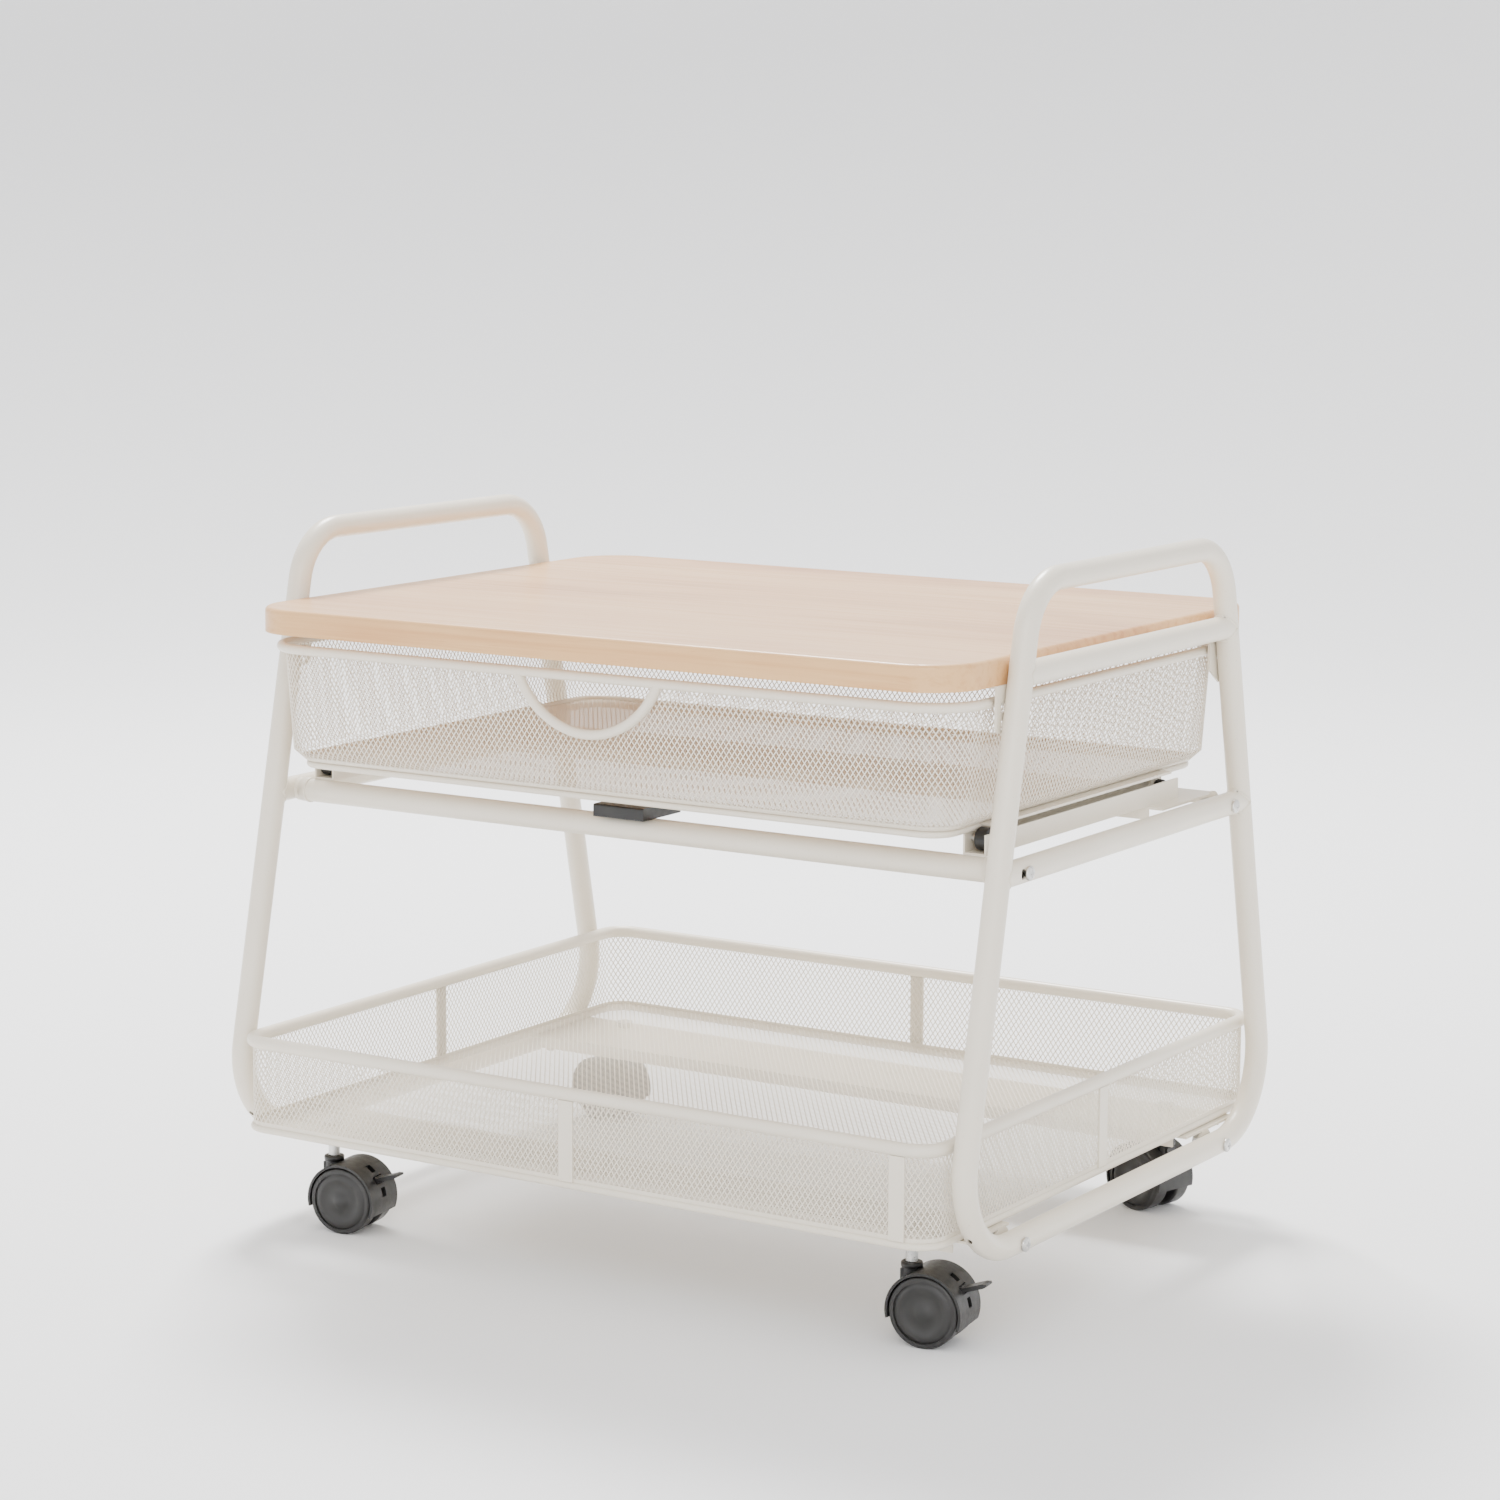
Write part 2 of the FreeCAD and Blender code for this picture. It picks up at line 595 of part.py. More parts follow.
# A sheet steel cross plate: flat web, two turned down flanges and a round ear at each end.
def crossPlate(label, midY, width, topZ, boltY, boltZ, stemY=None):
    name = label.title().replace("_", "")
    web = doc.addObject("Part::Box", name + "Web")
    web.setExpression("Length", "2 * Size.plateX")
    bind(web, "Width", width)
    bind(web, "Height", "plateThick")
    web.setExpression("Placement.Base.x", "-Size.plateX")
    web.setExpression("Placement.Base.y", "%s - Size.%s / 2" % (ref(midY), width))
    web.setExpression("Placement.Base.z", "Size.%s - Size.plateThick" % topZ)
    pieces = [web]
    for end, direction in ends:
        flange = doc.addObject("Part::Box", name + "Flange" + end.title())
        flange.setExpression("Length", "2 * (Size.earX - Size.earRadius)")
        bind(flange, "Width", "plateThick")
        bind(flange, "Height", "plateFlange")
        flange.setExpression("Placement.Base.x", "-Size.earX + Size.earRadius")
        edge = "%s %s Size.%s / 2" % (ref(midY), "-" if direction else "+", width)
        flange.setExpression("Placement.Base.y", edge + ("" if direction else " - Size.plateThick"))
        flange.setExpression("Placement.Base.z", "Size.%s - Size.plateFlange" % topZ)
        pieces.append(flange)
    holes = []
    for side, sign in sides:
        way = -90 if sign == "" else 90
        pieces.append(cylinder(name + "Ear" + side, "earRadius", "plateThick", sign + "plateX", boltY, boltZ,
                               yAxis, way))
        holes.append(cylinder(name + "Hole" + side, "boltHole", "earRadius", sign + "plateX", boltY, boltZ,
                              yAxis, way))
        if stemY is not None:
            hole = cylinder(name + "StemHole" + side, "stemRadius", "footPlateTopZ", sign + "casterX", stemY)
            holes.append(hole)
    plate = cut(name + "Drilled", fuse(name + "Sheet", pieces), fuse(name + "Holes", holes))
    keep(plate, label)


# Brackets inside the legs: a slotted plate that hangs beside the leg and a tab under the top.
def boardBracket(name, sign, end, width, drop, pointed):
    body = newBody(name)
    face = newSketch(body, name + "Plate", "YZ")
    corners = [("-" + width, "0"), (width, "0")]
    if pointed:
        corners += [(width, "-rearBracketShoulder"), ("0", "-" + drop), ("-" + width, "-rearBracketShoulder")]
    else:
        corners += [(width, "-" + drop, "screwHeadRadius"), ("-" + width, "-" + drop, "screwHeadRadius")]
    outline(face, corners)
    pad(body, face, "bracketThick", reverse=True)
    shelf = newSketch(body, name + "Shelf", "XY")
    outline(shelf, [("-bracketTab", "-" + width), ("0", "-" + width), ("0", width), ("-bracketTab", width)])
    pad(body, shelf, "bracketThick", reverse=True)
    slots = newSketch(body, name + "Slots", "YZ")
    for top, bottom in ((("-slotOneTop", "-slotOneBottom"),) if pointed else
                        (("-slotOneTop", "-slotOneBottom"), ("-slotTwoTop", "-slotTwoBottom"))):
        outline(slots, [("-slotHalf", bottom), ("slotHalf", bottom), ("slotHalf", top), ("-slotHalf", top)])
    pocket(body, slots, symmetric=True)
    hole = newSketch(body, name + "ScrewHole", "XY")
    circle(hole, "-screwInset", "0", "screwRadius")
    pocket(body, hole, symmetric=True)
    if sign == "-":
        turn(body, zAxis, 180)
    place(body, sign + "bracketX", end, "boardBottomZ")
    return body


def boardFixings():
    front = []
    rear = []
    screws = []
    for side, sign in sides:
        tag = side.title()
        front.append(boardBracket("FrontBracket" + tag, sign, "-frontBracketY", "frontBracketHalf",
                                  "frontBracketDrop", False))
        rear.append(boardBracket("RearBracket" + tag, sign, "rearBracketY", "rearBracketHalf",
                                 "rearBracketDrop", True))
        for end, y in (("Front", "-frontBracketY"), ("Rear", "rearBracketY")):
            shank = cylinder("ScrewShank" + end + tag, "screwRadius", "screwLength", sign + "screwX", y, "screwHeadZ")
            head = cylinder("ScrewHead" + end + tag, "screwHeadRadius", "screwHeadDepth", sign + "screwX", y,
                            "screwHeadBottomZ")
            screws.append(fuse("Screw" + end + tag, [shank, head]))
    keep(gather("FrontBrackets", front), "front_brackets")
    keep(gather("RearBrackets", rear), "rear_brackets")
    keep(gather("BoardScrews", screws), "board_screws")


def topBoard():
    body = newBody("TopBoard")
    plan = newSketch(body, "BoardPlan", "XY")
    rectangle(plan, "boardX", "boardY", "boardCorner")
    pad(body, plan, "boardThick")
    pilots = newSketch(body, "ScrewPilots", "XY")
    for side, sign in sides:
        circle(pilots, sign + "screwX", "-frontBracketY", "screwRadius")
        circle(pilots, sign + "screwX", "rearBracketY", "screwRadius")
    pocket(body, pilots, "screwBite", reverse=True)
    drilled = body.Tip
    heights = [abs(face.CenterOfMass.z - size("boardThick")) for face in drilled.Shape.Faces]
    ease = body.newObject("PartDesign::Fillet", "BoardEase")
    ease.Base = (drilled, ["Face%d" % (heights.index(min(heights)) + 1)])
    bind(ease, "Radius", "boardEase")
    place(body, "0", "0", "boardBottomZ")
    keep(body, "top_board")


# A closed ring of round wire that follows a rounded rectangle.
def wireRing(label, x, y, corner, radius, z, midY="0"):
    name = label.title().replace("_", "")
    body = newBody(name)
    path = newSketch(body, name + "Path", "XY")
    outline(path, [
        ("0", "-" + y), (x, "-" + y, corner), (x, y, corner), ("-" + x, y, corner), ("-" + x, "-" + y, corner)])
    section = newSketch(body, name + "Section", "YZ")
    circle(section, "-" + y, "0", radius)
    pipe(body, path, section)
    place(body, "0", midY, z)
    return body


def basketSection(body, name, inset, lift):
    # A rounded rectangle the given distance inside the drawer rim's centreline.
    for alias, whole in (("X", "drawerRimX"), ("Y", "drawerRimY"), ("Corner", "drawerCorner")):
        formula = "=%s - %s" % (whole, inset)
        nameSize(inset + alias, formula)
    sketch = newSketch(body, name, "XY", lift)
    rectangle(sketch, inset + "X", inset + "Y", inset + "Corner")
    return sketch


def basketSkin(body, kind, name, insets, floorLift):
    # Floor edge, knee and mouth of one face of the basket, joined by straight sides.
    skin = body.newObject("PartDesign::" + kind, name)
    skin.Profile = basketSection(body, name + "Floor", insets[0], floorLift)
    skin.Sections = [basketSection(body, name + "Knee", insets[1], "drawerKneeLift"),
                     basketSection(body, name + "Mouth", insets[2], "drawerDeep")]
    skin.Ruled = True
    doc.recompute()


# Drawer basket: bevelled foot, sides that lean out to the rim, and a half round hand hole in front.
def drawerBasket():
    body = newBody("DrawerMesh")
    basketSkin(body, "AdditiveLoft", "BasketOuter", ("floorOuter", "kneeOuter", "mouthOuter"), "0")
    before = body.Shape.Volume
    basketSkin(body, "SubtractiveLoft", "BasketInner", ("floorInner", "kneeInner", "mouthInner"), "meshThick")
    if body.Shape.Volume > before / 2:
        raise RuntimeError("the basket is not hollow")
    hand = newSketch(body, "HandHole", "XZ")
    circle(hand, "0", "pullCutZ", "pullCutRadius")
    pocket(body, hand, "drawerFrontY", reverse=True)
    place(body, "0", "drawerMidY", "drawerFloorZ")
    keep(body, "drawer_mesh")
    rim = wireRing("drawer_rim", "drawerRimX", "drawerRimY", "drawerCorner", "drawerRimRadius", "drawerRimZ",
                   "drawerMidY")
    keep(rim, "drawer_rim")
    foot = wireRing("drawer_foot_wire", "drawerWireX", "drawerWireY", "drawerWireCorner", "footWireRadius",
                    "drawerWireZ", "drawerMidY")
    keep(foot, "drawer_foot_wire")
    pullWire()


# The wire that edges the hand hole, with both ends on the rim.
def pullWire():
    ring = doc.addObject("Part::Torus", "PullRing")
    bind(ring, "Radius1", "pullRadius")
    bind(ring, "Radius2", "pullWireRadius")
    turn(ring, xAxis, 90)
    ring.setExpression("Placement.Base.y", "-Size.drawerFrontY")
    ring.setExpression("Placement.Base.z", "Size.drawerRimZ + Size.pullCentre")
    above = doc.addObject("Part::Box", "PullTrim")
    above.setExpression("Length", "4 * Size.pullRadius")
    above.setExpression("Width", "8 * Size.pullWireRadius")
    above.setExpression("Height", "4 * Size.pullRadius")
    above.setExpression("Placement.Base.x", "-2 * Size.pullRadius")
    above.setExpression("Placement.Base.y", "-Size.drawerFrontY - 4 * Size.pullWireRadius")
    bind(above, "Placement.Base.z", "drawerRimZ")
    rod = doc.addObject("Part::Cylinder", "PullRimSeat")
    bind(rod, "Radius", "drawerRimRadius")
    rod.setExpression("Height", "4 * Size.pullRadius")
    turn(rod, yAxis, 90)
    rod.setExpression("Placement.Base.x", "-2 * Size.pullRadius")
    rod.setExpression("Placement.Base.y", "-Size.drawerFrontY")
    bind(rod, "Placement.Base.z", "drawerRimZ")
    keep(cut("PullWire", ring, fuse("PullSeat", [above, rod])), "drawer_pull_wire")


# Slide channels lie on the cross members; each has a roller at its open front end.
def slideChannel(side, sign):
    name = "Channel" + side.title()
    body = newBody(name)
    section = newSketch(body, name + "Section", "XZ")
    outline(section, [
        ("-channelHalf", "0"), ("channelHalf", "0"), ("channelHalf", "channelHeight"),
        ("channelInnerHalf", "channelHeight"), ("channelInnerHalf", "channelWall"),
        ("-channelInnerHalf", "channelWall"), ("-channelInnerHalf", "channelHeight"),
        ("-channelHalf", "channelHeight")])
    pad(body, section, "channelLength", symmetric=True)
    hole = newSketch(body, name + "PinHole", "YZ")
    circle(hole, "-channelPinY", "channelPinZ", "pinRadius")
    pocket(body, hole, symmetric=True)
    place(body, sign + "channelX", "channelMidY", "midTopZ")
    keep(body, "slide_channel_" + side)


# A roller lying along X with its middle at the given place.
def roller(label, radius, width, x, y, z):
    name = label.title().replace("_", "")
    body = newBody(name)
    section = newSketch(body, name + "Profile", "XZ")
    outline(section, [
        ("-" + width, "rollerBore"), (width, "rollerBore"), (width, radius, "pinHeadHeight"),
        ("-" + width, radius, "pinHeadHeight")])
    revolve(body, section, "H_Axis")
    place(body, x, y, z)
    keep(body, label)


def pinAlongX(name, sign, startX, length, y, z, headed):
    way = 90 if sign == "" else -90
    shank = cylinder(name + "Shank", "pinRadius", length, sign + startX, y, z, yAxis, way)
    pieces = [shank]
    for at, alias in headed:
        pieces.append(cylinder(name + at, "pinHeadRadius", "pinHeadHeight", sign + alias, y, z, yAxis, way))
    return fuse(name, pieces)


def drawerSlides():
    fixedPins = []
    tailPins = []
    for side, sign in sides:
        tag = side.title()
        slideChannel(side, sign)
        roller("channel_roller_" + side, "rollerRadius", "rollerHalf", sign + "rollerX", "-rollerY", "rollerZ")
        fixedPins.append(pinAlongX("FixedPin" + tag, sign, "fixedPinX", "fixedPinLength", "-rollerY", "rollerZ",
                                   (("OuterHead", "fixedPinOuterX"), ("InnerHead", "fixedPinX"))))
        drawerRunner(side, sign)
        roller("runner_roller_" + side, "tailRollerRadius", "tailRollerHalf", sign + "tailRollerMidX",
               "tailRollerY", "tailRollerZ")
        tailPins.append(pinAlongX("TailPin" + tag, sign, "tailTabX", "tailPinLength", "tailRollerY", "tailRollerZ",
                                  (("Head", "tailPinHeadX"),)))
    keep(gather("FixedPins", fixedPins), "channel_roller_pins")
    keep(gather("TailPins", tailPins), "runner_roller_pins")


# Drawer runner: a flat strip beside the foot wire that runs on the front roller, with a tab for the rear one.
def drawerRunner(side, sign):
    name = "Runner" + side.title()
    body = newBody(name)
    section = newSketch(body, name + "Section", "XZ")
    outline(section, [
        ("runnerInX", "0"), ("runnerOutX", "0"), ("runnerOutX", "runnerThick"), ("runnerInX", "runnerThick")])
    pad(body, section, "runnerLength", symmetric=True)
    tab = newSketch(body, name + "Tab", "YZ", "tailTabX")
    outline(tab, [
        ("tailTabFrontY", "-tailTabDrop", "screwRadius"), ("tailTabRearY", "-tailTabDrop", "screwRadius"),
        ("tailTabRearY", "runnerThick"), ("tailTabFrontY", "runnerThick")])
    pad(body, tab, "runnerThick")
    hole = newSketch(body, name + "PinHole", "YZ", "tailTabX")
    circle(hole, "tailPinY", "-tailPinDrop", "pinRadius")
    pocket(body, hole, "runnerThick", reverse=True)
    doc.recompute()
    if sign == "":
        place(body, "0", "runnerMidY", "runnerFootZ")
        keep(body, "drawer_runner_right")
        return
    mirror = doc.addObject("Part::Mirroring", name + "Mirrored")
    mirror.Source = body
    mirror.Normal = xAxis
    place(mirror, "0", "runnerMidY", "runnerFootZ")
    keep(mirror, "drawer_runner_left")


def drawerCatch():
    body = newBody("DrawerCatch")
    profile = newSketch(body, "CatchProfile", "YZ")
    outline(profile, [
        ("0", "0"), ("catchLength", "0"), ("catchLength", "catchHeight", "channelWall"),
        ("0", "catchHeight", "channelWall")])
    pad(body, profile, "catchWidth", symmetric=True)
    block = cut("CatchSeated", body, cylinder("CatchSeat", "tubeRadius", "catchSeatLength", "-catchWidth",
                                              "catchSeatY", "-tubeRadius", yAxis, 90))
    place(block, "0", "-catchFrontY", "midTopZ")
    keep(block, "drawer_catch")


# Tray: upright mesh walls, a floor, a round rim, a wire under the floor edge and flat straps.
def tray():
    body = newBody("TrayMesh")
    outer = newSketch(body, "TrayOuter", "XY")
    rectangle(outer, "traySideOuterX", "traySideOuterY", "trayOuterCorner")
    pad(body, outer, "trayDeep")
    inner = newSketch(body, "TrayInner", "XY", "meshThick")
    rectangle(inner, "traySideInnerX", "traySideInnerY", "trayInnerCorner")
    pocket(body, inner, "trayDeep", reverse=True)
    place(body, "0", "0", "trayFloorZ")
    keep(body, "tray_mesh")
    keep(wireRing("tray_rim", "trayX", "trayY", "trayCorner", "rimRadius", "trayRimZ"), "tray_rim")
    keep(wireRing("tray_foot_wire", "trayX", "trayY", "trayCorner", "footWireRadius", "trayWireZ"),
         "tray_foot_wire")
    straps = []
    for tag, x, y, across in (("Front", "0", "-traySideOuterY", True), ("Rear", "0", "traySideOuterY", True),
                              ("Seam", "strapSeamX", "-traySideOuterY", True),
                              ("Left", "-traySideOuterX", "0", False), ("Right", "traySideOuterX", "0", False)):
        strap = doc.addObject("Part::Box", "Strap" + tag)
        bind(strap, "Length", "strapWidth" if across else "strapThick")
        bind(strap, "Width", "strapThick" if across else "strapWidth")
        bind(strap, "Height", "trayDeep")
        shiftX = "- Size.strapWidth / 2" if across else ("- Size.strapThick" if x.startswith("-") else "")
        shiftY = ("- Size.strapThick" if y.startswith("-") else "") if across else "- Size.strapWidth / 2"
        strap.setExpression("Placement.Base.x", "%s %s" % ("0" if x == "0" else ref(x), shiftX))
        strap.setExpression("Placement.Base.y", "%s %s" % ("0" if y == "0" else ref(y), shiftY))
        bind(strap, "Placement.Base.z", "trayFloorZ")
        straps.append(strap)
    keep(gather("TrayStraps", straps), "tray_straps")


# Hood sector and web of a caster, drawn about the wheel axle with the stem on the -X side.
def sector(name, radius, width):
    part = doc.addObject("Part::Cylinder", name)
    bind(part, "Radius", radius)
    bind(part, "Height", width)
    bind(part, "Angle", "hoodSweep")
    part.setExpression("Placement.Base.y", "Size.%s / 2" % width)
    part.Placement.Rotation = FreeCAD.Rotation(yAxis, -size("hoodStart")) * FreeCAD.Rotation(xAxis, 90)
    return part


def hood(name, braked):
    boss = cylinder(name + "Boss", "bossRadius", "bossDepth", "-casterTrail", "0", "bossBottomUp")
    band = cut(name + "Band", fuse(name + "Shell", [sector(name + "Outer", "hoodOuter", "hoodWidth"), boss]),
               cylinder(name + "Inner", "hoodInner", "hoodWidth", "0", "hoodHalf", "0", xAxis, 90))
    web = sector(name + "Web", "hoodMid", "webThick")
    hub = cylinder(name + "Hub", "hubRadius", "webThick", "0", "webHalf", "0", xAxis, 90)
    block = doc.addObject("Part::Box", name + "StemBlock")
    block.setExpression("Length", "2 * Size.bossRadius")
    bind(block, "Width", "webThick")
    bind(block, "Height", "stemBlockHeight")
    block.setExpression("Placement.Base.x", "-Size.casterTrail - Size.bossRadius")
    block.setExpression("Placement.Base.y", "-Size.webHalf")
    bind(block, "Placement.Base.z", "bossBottomUp")
    tools = [cylinder(name + "AxleHole", "axleRadius", "hoodWidth", "0", "hoodHalf", "0", xAxis, 90),
             cylinder(name + "StemHole", "stemBore", "stemHoleDepth", "-casterTrail", "0", "stemHoleBottomUp")]
    if braked:
        for tag, angle, height, width in (("Window", "leverAngle", "leverWindow", "leverWindowWidth"),
                                          ("SlotHigh", "slotHighAngle", "hoodSlotHeight", "hoodSlotWidth"),
                                          ("SlotLow", "slotLowAngle", "hoodSlotHeight", "hoodSlotWidth")):
            gap = doc.addObject("Part::Box", name + tag)
            gap.setExpression("Length", "4 * Size.hoodThick")
            bind(gap, "Width", width)
            bind(gap, "Height", height)
            spin = FreeCAD.Rotation(yAxis, -size(angle))
            gap.Placement.Rotation = spin
            reach = "(Size.hoodInner - Size.hoodThick)"
            gap.setExpression("Placement.Base.x", "%s * cos(Size.%s * 1 deg) + Size.%s / 2 * sin(Size.%s * 1 deg)"
                              % (reach, angle, height, angle))
            gap.setExpression("Placement.Base.y", "-Size.%s / 2" % width)
            gap.setExpression("Placement.Base.z", "%s * sin(Size.%s * 1 deg) - Size.%s / 2 * cos(Size.%s * 1 deg)"
                              % (reach, angle, height, angle))
            tools.append(gap)
    return cut(name, fuse(name + "Solid", [band, web, hub, block]), fuse(name + "Tools", tools))


# One wheel of a pair: tread, eased edges and a dished outer face with a closed hub.
def casterWheel(label, spot, flip):
    name = label.title().replace("_", "")
    body = newBody(name)
    section = newSketch(body, name + "Profile", "YZ")
    outline(section, [
        ("wheelInnerY", "wheelBore"), ("axleEndY", "wheelBore"), ("axleEndY", "0"), ("wheelTreadY", "0"),
        ("wheelTreadY", "rimStep"), ("wheelOuterY", "rimStep"), ("wheelOuterY", "wheelRadius", "wheelEase"),
        ("wheelInnerY", "wheelRadius", "wheelEase")])
    revolve(body, section, "H_Axis")
    keep(swivel(body, spot, "axle", "wheelRadius", FreeCAD.Rotation(zAxis, flip)), label)


# Sets a caster piece at its spot, turned about the stem with the rest of that caster.
def swivel(thing, spot, point, z, own=FreeCAD.Rotation()):
    thing.Placement = FreeCAD.Placement(FreeCAD.Vector(), FreeCAD.Rotation(zAxis, size("turn" + spot)) * own)
    return place(thing, point + spot + "X", point + spot + "Y", z)


def caster(end, endSign, side, sideSign):
    tag = end + "_" + side
    spot = end.title() + side.title()
    name = "Caster" + spot
    braked = end == "front"
    stemX = sideSign + "casterX"
    stemY = endSign + "casterY"
    pin = cylinder(name + "Pin", "stemPinRadius", "stemPinDepth", stemX, stemY, "stemPinBottomZ")
    shank = cylinder(name + "Shank", "stemRadius", "stemLength", stemX, stemY, "stemBottomZ")
    keep(fuse(name + "Stem", [pin, shank]), "caster_stem_" + tag)
    keep(swivel(hood(name + "Hood", braked), spot, "axle", "wheelRadius"), "caster_hood_" + tag)
    axle = doc.addObject("Part::Cylinder", name + "Axle")
    bind(axle, "Radius", "axleRadius")
    axle.setExpression("Height", "2 * Size.axleHalf")
    keep(swivel(axle, spot, "spindle", "wheelRadius", FreeCAD.Rotation(xAxis, 90)), "caster_axle_" + tag)
    casterWheel("caster_wheel_outer_" + tag, spot, 180)
    casterWheel("caster_wheel_inner_" + tag, spot, 0)
    if braked:
        brakeLever(name + "Lever", spot, "brake_lever_" + side)


# Brake lever: a round hub in the hood's window with a paddle that points away from the stem.
def brakeLever(name, spot, label):
    body = newBody(name)
    profile = newSketch(body, name + "Profile", "XZ")
    outline(profile, [
        ("0", "-leverHalf"), ("leverKnee", "-leverHalf"), ("leverReach", "leverTipLow"),
        ("leverReach", "leverTipHigh"), ("leverKnee", "leverHalf"), ("0", "leverHalf")])
    pad(body, profile, "leverWidth", symmetric=True)
    hub = newSketch(body, name + "Hub", "XZ")
    circle(hub, "0", "0", "leverHub")
    pad(body, hub, "leverWidth", symmetric=True)
    keep(swivel(body, spot, "lever", "leverZ", FreeCAD.Rotation(yAxis, -size("leverRise"))), label)


def stemNuts():
    nuts = []
    for end, endSign in ends:
        for side, sideSign in sides:
            name = "StemNut" + end.title() + side.title()
            prism = doc.addObject("Part::Prism", name + "Hexagon")
            prism.Polygon = 6
            bind(prism, "Circumradius", "stemNutRadius")
            bind(prism, "Height", "stemNutHeight")
            nut = cut(name, prism, cylinder(name + "Thread", "stemRadius", "stemNutHeight"))
            nuts.append(place(nut, sideSign + "casterX", endSign + "casterY", "footPlateTopZ"))
    keep(gather("StemNuts", nuts), "caster_stem_nuts")


for side, sign in sides:
    sideLoop(side, sign)
    loopRail(side, sign, "upper", "upperRailZ", False)
    loopRail(side, sign, "mid", "midRailZ", True)
frontCrossTube()
crossPlate("rear_cross_plate", "midPlateMidY", "midPlateWidth", "midTopZ", "midBoltY", "midRailZ")
crossPlate("foot_plate_front", "-footFrontMidY", "footFrontWidth", "footPlateTopZ", "-footBoltY", "footRailZ",
           "-casterY")
crossPlate("foot_plate_rear", "footPlateMidY", "footPlateWidth", "footPlateTopZ", "footBoltY", "footRailZ",
           "casterY")
fasteners()
boardFixings()
topBoard()
drawerBasket()
drawerSlides()
drawerCatch()
tray()
for end, endSign in ends:
    for side, sign in sides:
        caster(end, endSign, side, sign)
stemNuts()
doc.recompute()

for thing in doc.Objects:
    if "Invalid" in thing.State or "Error" in thing.State:
        raise RuntimeError(thing.Name + " did not rebuild: " + ", ".join(thing.State))
os.makedirs("parts", exist_ok=True)
for thing in subParts:
    if thing.Shape.isNull() or not thing.Shape.isValid():
        raise RuntimeError(thing.Label + " has no valid shape")
for thing in subParts:
    thing.Shape.exportStep("parts/" + thing.Label + ".step")
    print("%-28s %d solid(s) %10.1f mm3" % (thing.Label, len(thing.Shape.Solids), thing.Shape.Volume))
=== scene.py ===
import json
import math
import bmesh
import bpy
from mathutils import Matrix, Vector


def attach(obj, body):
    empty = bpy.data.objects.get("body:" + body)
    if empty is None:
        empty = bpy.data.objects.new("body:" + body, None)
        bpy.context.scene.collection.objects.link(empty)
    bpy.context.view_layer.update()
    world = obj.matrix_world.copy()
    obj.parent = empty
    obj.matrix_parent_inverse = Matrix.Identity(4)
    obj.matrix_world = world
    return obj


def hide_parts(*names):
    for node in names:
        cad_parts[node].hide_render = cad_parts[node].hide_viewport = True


# Mobile printer stand: finishes and fine detail over the CAD frame. Metres, +X right, +Y rear, +Z up.
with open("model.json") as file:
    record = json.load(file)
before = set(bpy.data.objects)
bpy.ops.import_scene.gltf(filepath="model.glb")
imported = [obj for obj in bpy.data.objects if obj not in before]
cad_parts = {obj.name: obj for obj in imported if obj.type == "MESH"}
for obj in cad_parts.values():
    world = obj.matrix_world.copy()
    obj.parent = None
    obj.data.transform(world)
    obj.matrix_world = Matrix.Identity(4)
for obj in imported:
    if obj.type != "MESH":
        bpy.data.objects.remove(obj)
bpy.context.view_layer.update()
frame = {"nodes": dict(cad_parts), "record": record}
nodes = frame["nodes"]
scene = bpy.context.scene
mm = 0.001
print("frame loaded:", len(nodes), "parts")


def newFinish(name, colour, rough, metal=0.0):
    mat = bpy.data.materials.new(name)
    mat.use_nodes = True
    shader = mat.node_tree.nodes["Principled BSDF"]
    shader.inputs["Base Color"].default_value = (*colour, 1)
    shader.inputs["Roughness"].default_value = rough
    shader.inputs["Metallic"].default_value = metal
    return mat, shader


def addNoise(mat, scale, detail=4.0, stretch=(1, 1, 1), warp=0.0, rough=0.55):
    tree = mat.node_tree
    coords = tree.nodes.new("ShaderNodeTexCoord")
    mapping = tree.nodes.new("ShaderNodeMapping")
    mapping.inputs["Scale"].default_value = stretch
    noise = tree.nodes.new("ShaderNodeTexNoise")
    noise.inputs["Scale"].default_value = scale
    noise.inputs["Detail"].default_value = detail
    noise.inputs["Roughness"].default_value = rough
    noise.inputs["Distortion"].default_value = warp
    tree.links.new(coords.outputs["Object"], mapping.inputs["Vector"])
    tree.links.new(mapping.outputs["Vector"], noise.inputs["Vector"])
    return noise.outputs["Fac"]


def addRamp(mat, fac, stops):
    ramp = mat.node_tree.nodes.new("ShaderNodeValToRGB")
    keys = ramp.color_ramp.elements
    while len(keys) < len(stops):
        keys.new(0.5)
    for key, (at, colour) in zip(keys, stops):
        key.position = at
        key.color = (*colour, 1)
    mat.node_tree.links.new(fac, ramp.inputs["Fac"])
    return ramp.outputs["Color"]


def addRange(mat, fac, low, high, start=0.3, end=0.7):
    spread = mat.node_tree.nodes.new("ShaderNodeMapRange")
    spread.inputs["From Min"].default_value = start
    spread.inputs["From Max"].default_value = end
    spread.inputs["To Min"].default_value = low
    spread.inputs["To Max"].default_value = high
    mat.node_tree.links.new(fac, spread.inputs["Value"])
    return spread.outputs["Result"]


def addMix(mat, fac, first, second, kind="MIX"):
    mix = mat.node_tree.nodes.new("ShaderNodeMix")
    mix.data_type = "RGBA"
    mix.blend_type = kind
    if isinstance(fac, float):
        mix.inputs[0].default_value = fac
    else:
        mat.node_tree.links.new(fac, mix.inputs[0])
    mat.node_tree.links.new(first, mix.inputs[6])
    mat.node_tree.links.new(second, mix.inputs[7])
    return mix.outputs[2]


